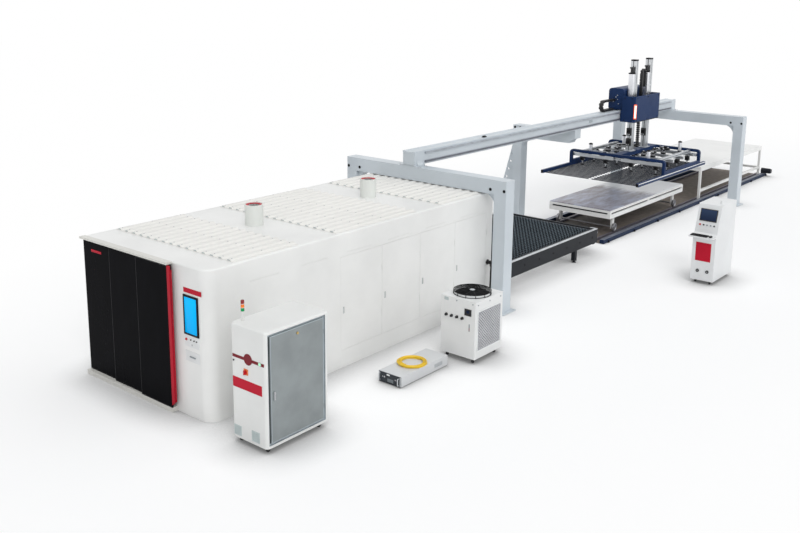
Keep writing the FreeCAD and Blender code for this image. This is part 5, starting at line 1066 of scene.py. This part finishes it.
# small pneumatic units of several finishes, each with the places of its copies
units = {
    "mastValves": ([
        ("keysBlack", addBlock, (-0.030, 0.030, -0.070, 0.070, -0.110, 0.110, 0.006)),
        ("trimBlack", addBlock, (-0.052, -0.028, -0.052, 0.052, -0.020, 0.060, 0.004)),
        ("mastSilver", addRod, ((-0.030, 0.030, -0.070), (-0.070, 0.030, -0.070), 0.014, 12)),
        ("mastSilver", addRod, ((-0.030, -0.030, -0.070), (-0.070, -0.030, -0.070), 0.014, 12)),
    ], [(16.690, 0, 2.430), (16.690, 0, 2.130), (17.640, 0, 2.330)]),
    "valveCaps": ([
        ("mastSilver", addRod, ((0, 0, 1.8795), (0, 0, 1.915), 0.020, 16, 0.003)),
        ("keysBlack", addBlock, (-0.045, 0.045, -0.030, 0.030, 1.8795, 1.893, 0.003)),
        ("mastSilver", addRod, ((-0.052, 0, 1.865), (-0.075, 0, 1.865), 0.009, 12)),
        ("mastSilver", addRod, ((0.052, 0.02, 1.85), (0.075, 0.02, 1.85), 0.009, 12)),
    ], [(x, y, 0) for x in (16.843, 17.557) for y in (-0.70, -0.42, 0.42, 0.70)]),
    "plungerBarrels": ([
        ("trimBlack", addRod, ((0, 0, 1.7500), (0, 0, 1.785), 0.062, 24, 0.003), toTop,
         [(0.008, 0.004)]),
        ("trimBlack", addRod, ((0, 0, 2.030), (0, 0, 2.058), 0.058, 24, 0.003), toTop,
         [(0.018, 0.012)]),
        ("cylinderSilver", addRod, ((0, 0, 1.785), (0, 0, 2.032), 0.052, 28)),
    ], [(x, y, 0) for x in (16.130, 18.270) for y in (-0.9, 0.9)]),
    "cupEjectors": ([
        ("keysBlack", addBlock, (-0.045, 0.045, -0.060, 0.060, 1.525, 1.655, 0.006)),
        ("trimBlack", addBlock, (-0.062, -0.043, -0.035, 0.035, 1.560, 1.620, 0.004)),
        ("mastSilver", addRod, ((0, 0, 1.500), (0, 0, 1.528), 0.030, 16, 0.003)),
        ("mastSilver", addRod, ((0.043, 0.020, 1.610), (0.075, 0.020, 1.610), 0.013, 12)),
        ("mastSilver", addRod, ((0, -0.058, 1.560), (0, -0.085, 1.560), 0.012, 12)),
    ], [(x, y, 0) for x in barMiddles for y in (-1.15, -0.40, 0.40, 1.15)]),
    "manifolds": ([
        ("keysBlack", addBlock, (-0.055, 0.055, -0.130, 0.130, 1.7495, 1.815, 0.006)),
        ("mastSilver", addRod, ((0, -0.080, 1.813), (0, -0.080, 1.850), 0.022, 16, 0.003)),
        ("mastSilver", addRod, ((0, 0.080, 1.813), (0, 0.080, 1.850), 0.022, 16, 0.003)),
        ("trimBlack", addBlock, (-0.030, 0.030, -0.035, 0.035, 1.813, 1.870, 0.005)),
    ], [(x, y, 0) for x in (barMiddles[0], barMiddles[-1]) for y in (-0.45, 0.45)]),
}
for name, (rows, places) in units.items():
    finishPiece(repeated(assembled(*rows), places), name, "lift", None)
airLine = {"radius": 0.009, "sides": 8, "start": 1.640, "sag": 1.590, "end": 1.672}
runs = []
for x in bars:
    for y0, y1 in ((-1.15, -0.72), (-0.40, -0.16), (0.16, 0.40), (0.72, 1.15)):
        low = (x - 0.030, (y0 + y1) / 2, airLine["sag"])
        for first, last in (((x - 0.022, y0, airLine["start"]), low),
                            (low, (x - 0.022, y1, airLine["end"]))):
            runs.append(addRod(first, last, airLine["radius"], airLine["sides"]))
finishPiece(joinPieces(runs), "airLines", "lift", "cupRubber")

forks = {"x": (14.350, 18.850), "y": 1.480}
for body, side in (("near_fork", -1), ("far_fork", 1)):
    start, end = forks["x"]
    outer = sorted((side * (forks["y"] - 0.0006), side * (forks["y"] + 0.003)))
    ends = sorted((side * 1.413, side * 1.477))
    addPieces(body, {
        # a white strip along the top of each fork's outer face: a painted highlight on the arm's
        # upper edge
        "forkHighlight_" + body: {"finish": "panelWhite", "slot": "carriage_navy",
                              "block": (start + 0.02, end - 0.02, *outer, 1.424, 1.448, 0.001),
                              "face": (0, side, 0), "steps": [(0.005, -0.001)]},
        "forkEnd_" + body: {"finish": "trimBlack", "slot": "carriage_navy",
                            "block": (start - 0.004, start + 0.002, *ends, 1.369, 1.451, 0.002),
                            "face": toFront, "steps": [(0.010, -0.003)]},
    })
print("lifting frame and forks")

slatLow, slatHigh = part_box("outer_pallet_slats")
slats = {"count": 36, "tooth": 0.0862, "cut": 0.036, "thick": 0.006, "start": 7.605,
         "run": 4.52}


def addSlat(settings, pitch):
    # a plain strip, with every second point of its upper edge pulled down
    size, middle = slatHigh - slatLow, (slatLow + slatHigh) / 2
    teeth = round(size.y / settings["tooth"])
    x = settings["start"] + 0.5 * pitch + settings["thick"] / 2
    slat = addGrid((x - rowOrigin[0], middle.y, middle.z), (size.y, size.z),
                   (math.pi / 2, 0, math.pi / 2), 2 * teeth, 1)
    half = size.y / (2 * teeth)
    choose(slat, "VERT", lambda vert: vert.co.z > middle.z
           and round((vert.co.y - slatLow.y) / half) % 2 == 1)
    bpy.ops.transform.translate(value=(0, 0, -settings["cut"]))
    bpy.ops.mesh.select_all(action="DESELECT")
    bpy.ops.object.mode_set(mode="OBJECT")
    return applyModifier(slat, "SOLIDIFY", thickness=settings["thick"], offset=0)


slatPitch = slats["run"] / slats["count"]
palletSlats = repeated(addSlat(slats, slatPitch),
                       [(slatPitch * i, 0, 0) for i in range(slats["count"])])
finishPiece(palletSlats, "palletSlats", "outer_table", "slatSteel", 20)
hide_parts("outer_pallet_slats")
combs = [addBlock(7.62, 12.11, y - 0.003, y + 0.003, slatLow.z - 0.001, slatLow.z + 0.022,
                  0.0008, 1) for y in (-0.90, -0.45, 0.0, 0.45, 0.90)]
finishPiece(joinPieces(combs), "slatCombs", "outer_table", "palletDark")
tableBolts = repeated(addBolt((0, -1.430, 0.460), toNear, 0.014, 0.010),
                      [(7.7 + 0.62 * i, 0, 0) for i in range(8)])
finishPiece(tableBolts, "tableBolts", "line", "trimBlack")
print("exchange pallet")

rails = {"half": 1.160, "lug": 0.034, "start": 13.45, "pitch": 1.50, "lugs": 9}
lugs = []
for side in (-1, 1):
    outer = sorted((side * (rails["half"] - 0.0005), side * (rails["half"] + rails["lug"])))
    lug = joinPieces([
        addBlock(-0.045, 0.045, *outer, 0.0, 0.012, 0.002),
        addBlock(-0.004, 0.004, *outer, 0.011, 0.060, 0.001),
        addBolt((0, side * (rails["half"] + 0.018), 0.012), toTop, 0.009, 0.012)])
    lugs.append(repeated(lug, [(rails["start"] + rails["pitch"] * i, 0, 0)
                               for i in range(rails["lugs"])]))
finishPiece(joinPieces(lugs), "railLugs", "line", "trimBlack")
railJoints = [addBlock(x - 0.0015, x + 0.0015, -1.1608, -1.0392, 0.002, 0.1108, 0.0004, 1)
              for x in (16.27, 19.34, 22.41)]
finishPiece(joinPieces(railJoints), "railJoints", "line", "trimGrey")
# dark strips inside the slot round the trolley deck: painted shade in the gap
trolleySlot = [addBlock(*ends, 0.5955, 0.6395, 0) for ends in (
    (13.975, 18.625, -0.883, -0.877), (13.975, 18.625, 0.877, 0.883),
    (13.987, 13.993, -0.880, 0.880), (18.607, 18.613, -0.880, 0.880))]
finishPiece(softenEdges(joinPieces(trolleySlot), 0.0006, 1), "trolleySlot", "trolley",
            "groundDark")
deckBolts = repeated(addBolt((0, 0, 0.7202), toTop, 0.007, 0.005), [
    (x, y, 0) for x in (14.05, 15.175, 16.30, 17.425, 18.55) for y in (-0.86, 0.86)])
finishPiece(deckBolts, "deckBolts", "trolley", "wheelSteel")
print("rails and trolley")

console = {"face": 11.630, "screen": (11.775, -4.390, 1.4825), "slope": (0.17, 0.625),
           "sockets": (-4.290, -4.510)}
keys = {"start": (11.441, -4.505, 1.1405), "size": 0.0195, "pitch": 0.0235, "rise": 0.0017,
        "rows": 6, "columns": 16}
x, y, z = console["screen"]
tilt = turnAbout((x, y, z), "Y", math.degrees(math.atan2(*console["slope"])))
for name, finish, box, steps in (
        ("consoleBezel", "keysBlack",
         (x - 0.0150, x + 0.002, y - 0.194, y + 0.194, z - 0.064, z + 0.214, 0.003),
         [(0.014, 0), (0.002, -0.0018)]),
        ("consolePane", "screenDark",
         (x - 0.0142, x - 0.0125, y - 0.177, y + 0.177, z - 0.047, z + 0.197, 0.0005),
         [(0.003, 0.0002)])):
    part = makePart(addBlock, box, toFront, steps)
    part.data.transform(tilt)
    finishPiece(part, name, "line", finish)
caps = assembled(*[
    (finish, addRod, ((x + 0.001, y + 0.08 * k, z - 0.150), (x - 0.0165, y + 0.08 * k, z - 0.150),
                      radius), toFront, [(0.003, 0.0015), (0.004, -0.0015)])
    for k, radius, finish in ((2, 0.020, "stopRed"), (1, 0.0175, "keysBlack"),
                              (0, 0.0175, "trimGrey"), (-1, 0.0175, "trimGrey"),
                              (-2, 0.0175, "keysBlack"))])
caps.data.transform(tilt)
finishPiece(caps, "consoleKeys", "line", None)
face = console["face"]
sockets = [assembled(
    ("keysBlack", addRod, ((face + 0.0005, y, 0.300), (face - 0.0165, y, 0.300), 0.036, 32),
     toFront, [(0.006, 0.001), (0.008, 0), (0.001, -0.008)]),
    ("panelWhite", addRod, ((face - 0.004, y, 0.300), (face - 0.0150, y, 0.300), 0.010, 16, 0.002)))
    for y in console["sockets"]]
finishPiece(joinPieces(sockets), "consoleSockets", "line", None)
keyX, keyY, keyZ = keys["start"]
keyPlaces = [(keyX + keys["pitch"] * row, keyY + keys["pitch"] * column, keyZ + keys["rise"] * row)
             for row in range(keys["rows"]) for column in range(keys["columns"])]
addPieces("line", {
    "consolePlate": {"finish": "plateRed", "slot": "handle_red",
                     "block": (face - 0.003, face + 0.0005, -4.562, -4.212, 0.528, 0.955, 0.001),
                     "face": toFront, "steps": [(0.010, 0), plateLip]},
    "keyboardKeys": {"finish": "trimBlack", "slot": "keys_black",
                     "block": (0, keys["size"], 0, keys["size"], 0, 0.0060), "face": toTop,
                     "steps": [(0.0030, 0.0012)], "places": keyPlaces},
    "antennaTip": {"finish": "panelWhite", "slot": "cabinet_white",
                   "rod": ((12.050, -4.560, 1.8640), (12.050, -4.560, 1.8690), 0.022),
                   "face": toTop, "steps": [(0.006, 0.002)]},
})
print("console")


def cordCurve(name, points, diameter, finish):
    curve = bpy.data.curves.new(name, "CURVE")
    curve.dimensions = "3D"
    curve.bevel_depth = diameter / 2
    curve.bevel_resolution = 6
    curve.resolution_u = 8
    curve.use_fill_caps = True
    spline = curve.splines.new("NURBS")
    spline.points.add(len(points) - 1)
    for point, place in zip(spline.points, points):
        point.co = (*place, 1)
    spline.order_u = 3
    spline.use_endpoint_u = True
    cord = bpy.data.objects.new(name, curve)
    bpy.context.scene.collection.objects.link(cord)
    curve.materials.append(finish)
    return cord


def curveLength(points):
    # length of the quadratic spline that the points control
    total, pieces = 0.0, 16
    for i in range(1, len(points) - 1):
        start = points[0] if i == 1 else (points[i - 1] + points[i]) / 2
        end = points[-1] if i == len(points) - 2 else (points[i] + points[i + 1]) / 2
        last = start
        for k in range(1, pieces + 1):
            t = k / pieces
            here = start * (1 - t) ** 2 + points[i] * 2 * t * (1 - t) + end * t * t
            total += (here - last).length
            last = here
    return total


hoseSettings = {
    "diameter": 0.060,
    "wall": (7.262, -1.660),     # the elbow's mouth on the enclosure
    "lie": 0.034,
    "inlet": (5.350, -2.855, 0.150),
}


def hosePoints(settings):
    (x, y), lie = settings["wall"], settings["lie"]
    inletX, inletY, inletZ = settings["inlet"]
    offsets = [(0, 0, 0.860), (0, 0, 0.600), (-0.020, -0.005, 0.340), (-0.130, -0.020, 0.140),
               (-0.320, -0.045, lie), (-0.600, -0.085, lie - 0.002), (-0.880, -0.215, lie),
               (-1.110, -0.450, lie - 0.002), (-1.260, -0.740, lie), (-1.400, -0.960, lie + 0.012)]
    points = [at(x + dx, y + dy, z) for dx, dy, z in offsets]
    return points + [at(inletX + 0.240, inletY, inletZ), at(inletX, inletY, inletZ)]


hoseRoute = hosePoints(hoseSettings)
waterHose = cordCurve("waterHose", hoseRoute, hoseSettings["diameter"], finishes["hoseBlack"])
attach(waterHose, "line")
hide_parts("water_hose")
round(curveLength(hoseRoute), 3)

coilSettings = {
    "centre": (3.470, -2.620),
    "source top": 0.197,
    "diameter": 0.020,
    "inner": 0.176,
    "turns": 3,          # in each layer
    "pitch": 0.0235,
    "step": 0.0215,
    "points per turn": 16,
}


def coilPoints(settings):
    # the coil grows outwards, climbs one layer in half a turn and comes back inwards
    x, y = settings["centre"]
    radius, perTurn = settings["diameter"] / 2, settings["points per turn"]
    base = settings["source top"] + 0.0003 + radius
    halfTurns = 2 * settings["turns"]
    widen = math.cos(math.pi / perTurn) ** 0.5
    points = []
    for i in range((2 * halfTurns + 1) * perTurn // 2 + 1):
        half = i * 2 / perTurn
        if half <= halfTurns:
            steps, rise = half, 0.0
        elif half <= halfTurns + 1:
            steps, rise = halfTurns, half - halfTurns
        else:
            steps, rise = 2 * halfTurns + 1 - half, 1.0
        reach = (settings["inner"] + radius + steps * settings["pitch"] / 2) / widen
        angle = half * math.pi
        points.append(at(x + reach * math.cos(angle), y + reach * math.sin(angle),
                         base + rise * settings["step"]))
    lead = Vector((0, settings["diameter"], 0))
    return [points[0] - lead] + points + [points[-1] - lead]


coilRoute = coilPoints(coilSettings)
fibreCoil = cordCurve("fibreCoil", coilRoute, coilSettings["diameter"], finishes["fibreYellow"])
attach(fibreCoil, "line")
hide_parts("fibre_coil")
round(curveLength(coilRoute), 3)
print("hose and fibre laid")
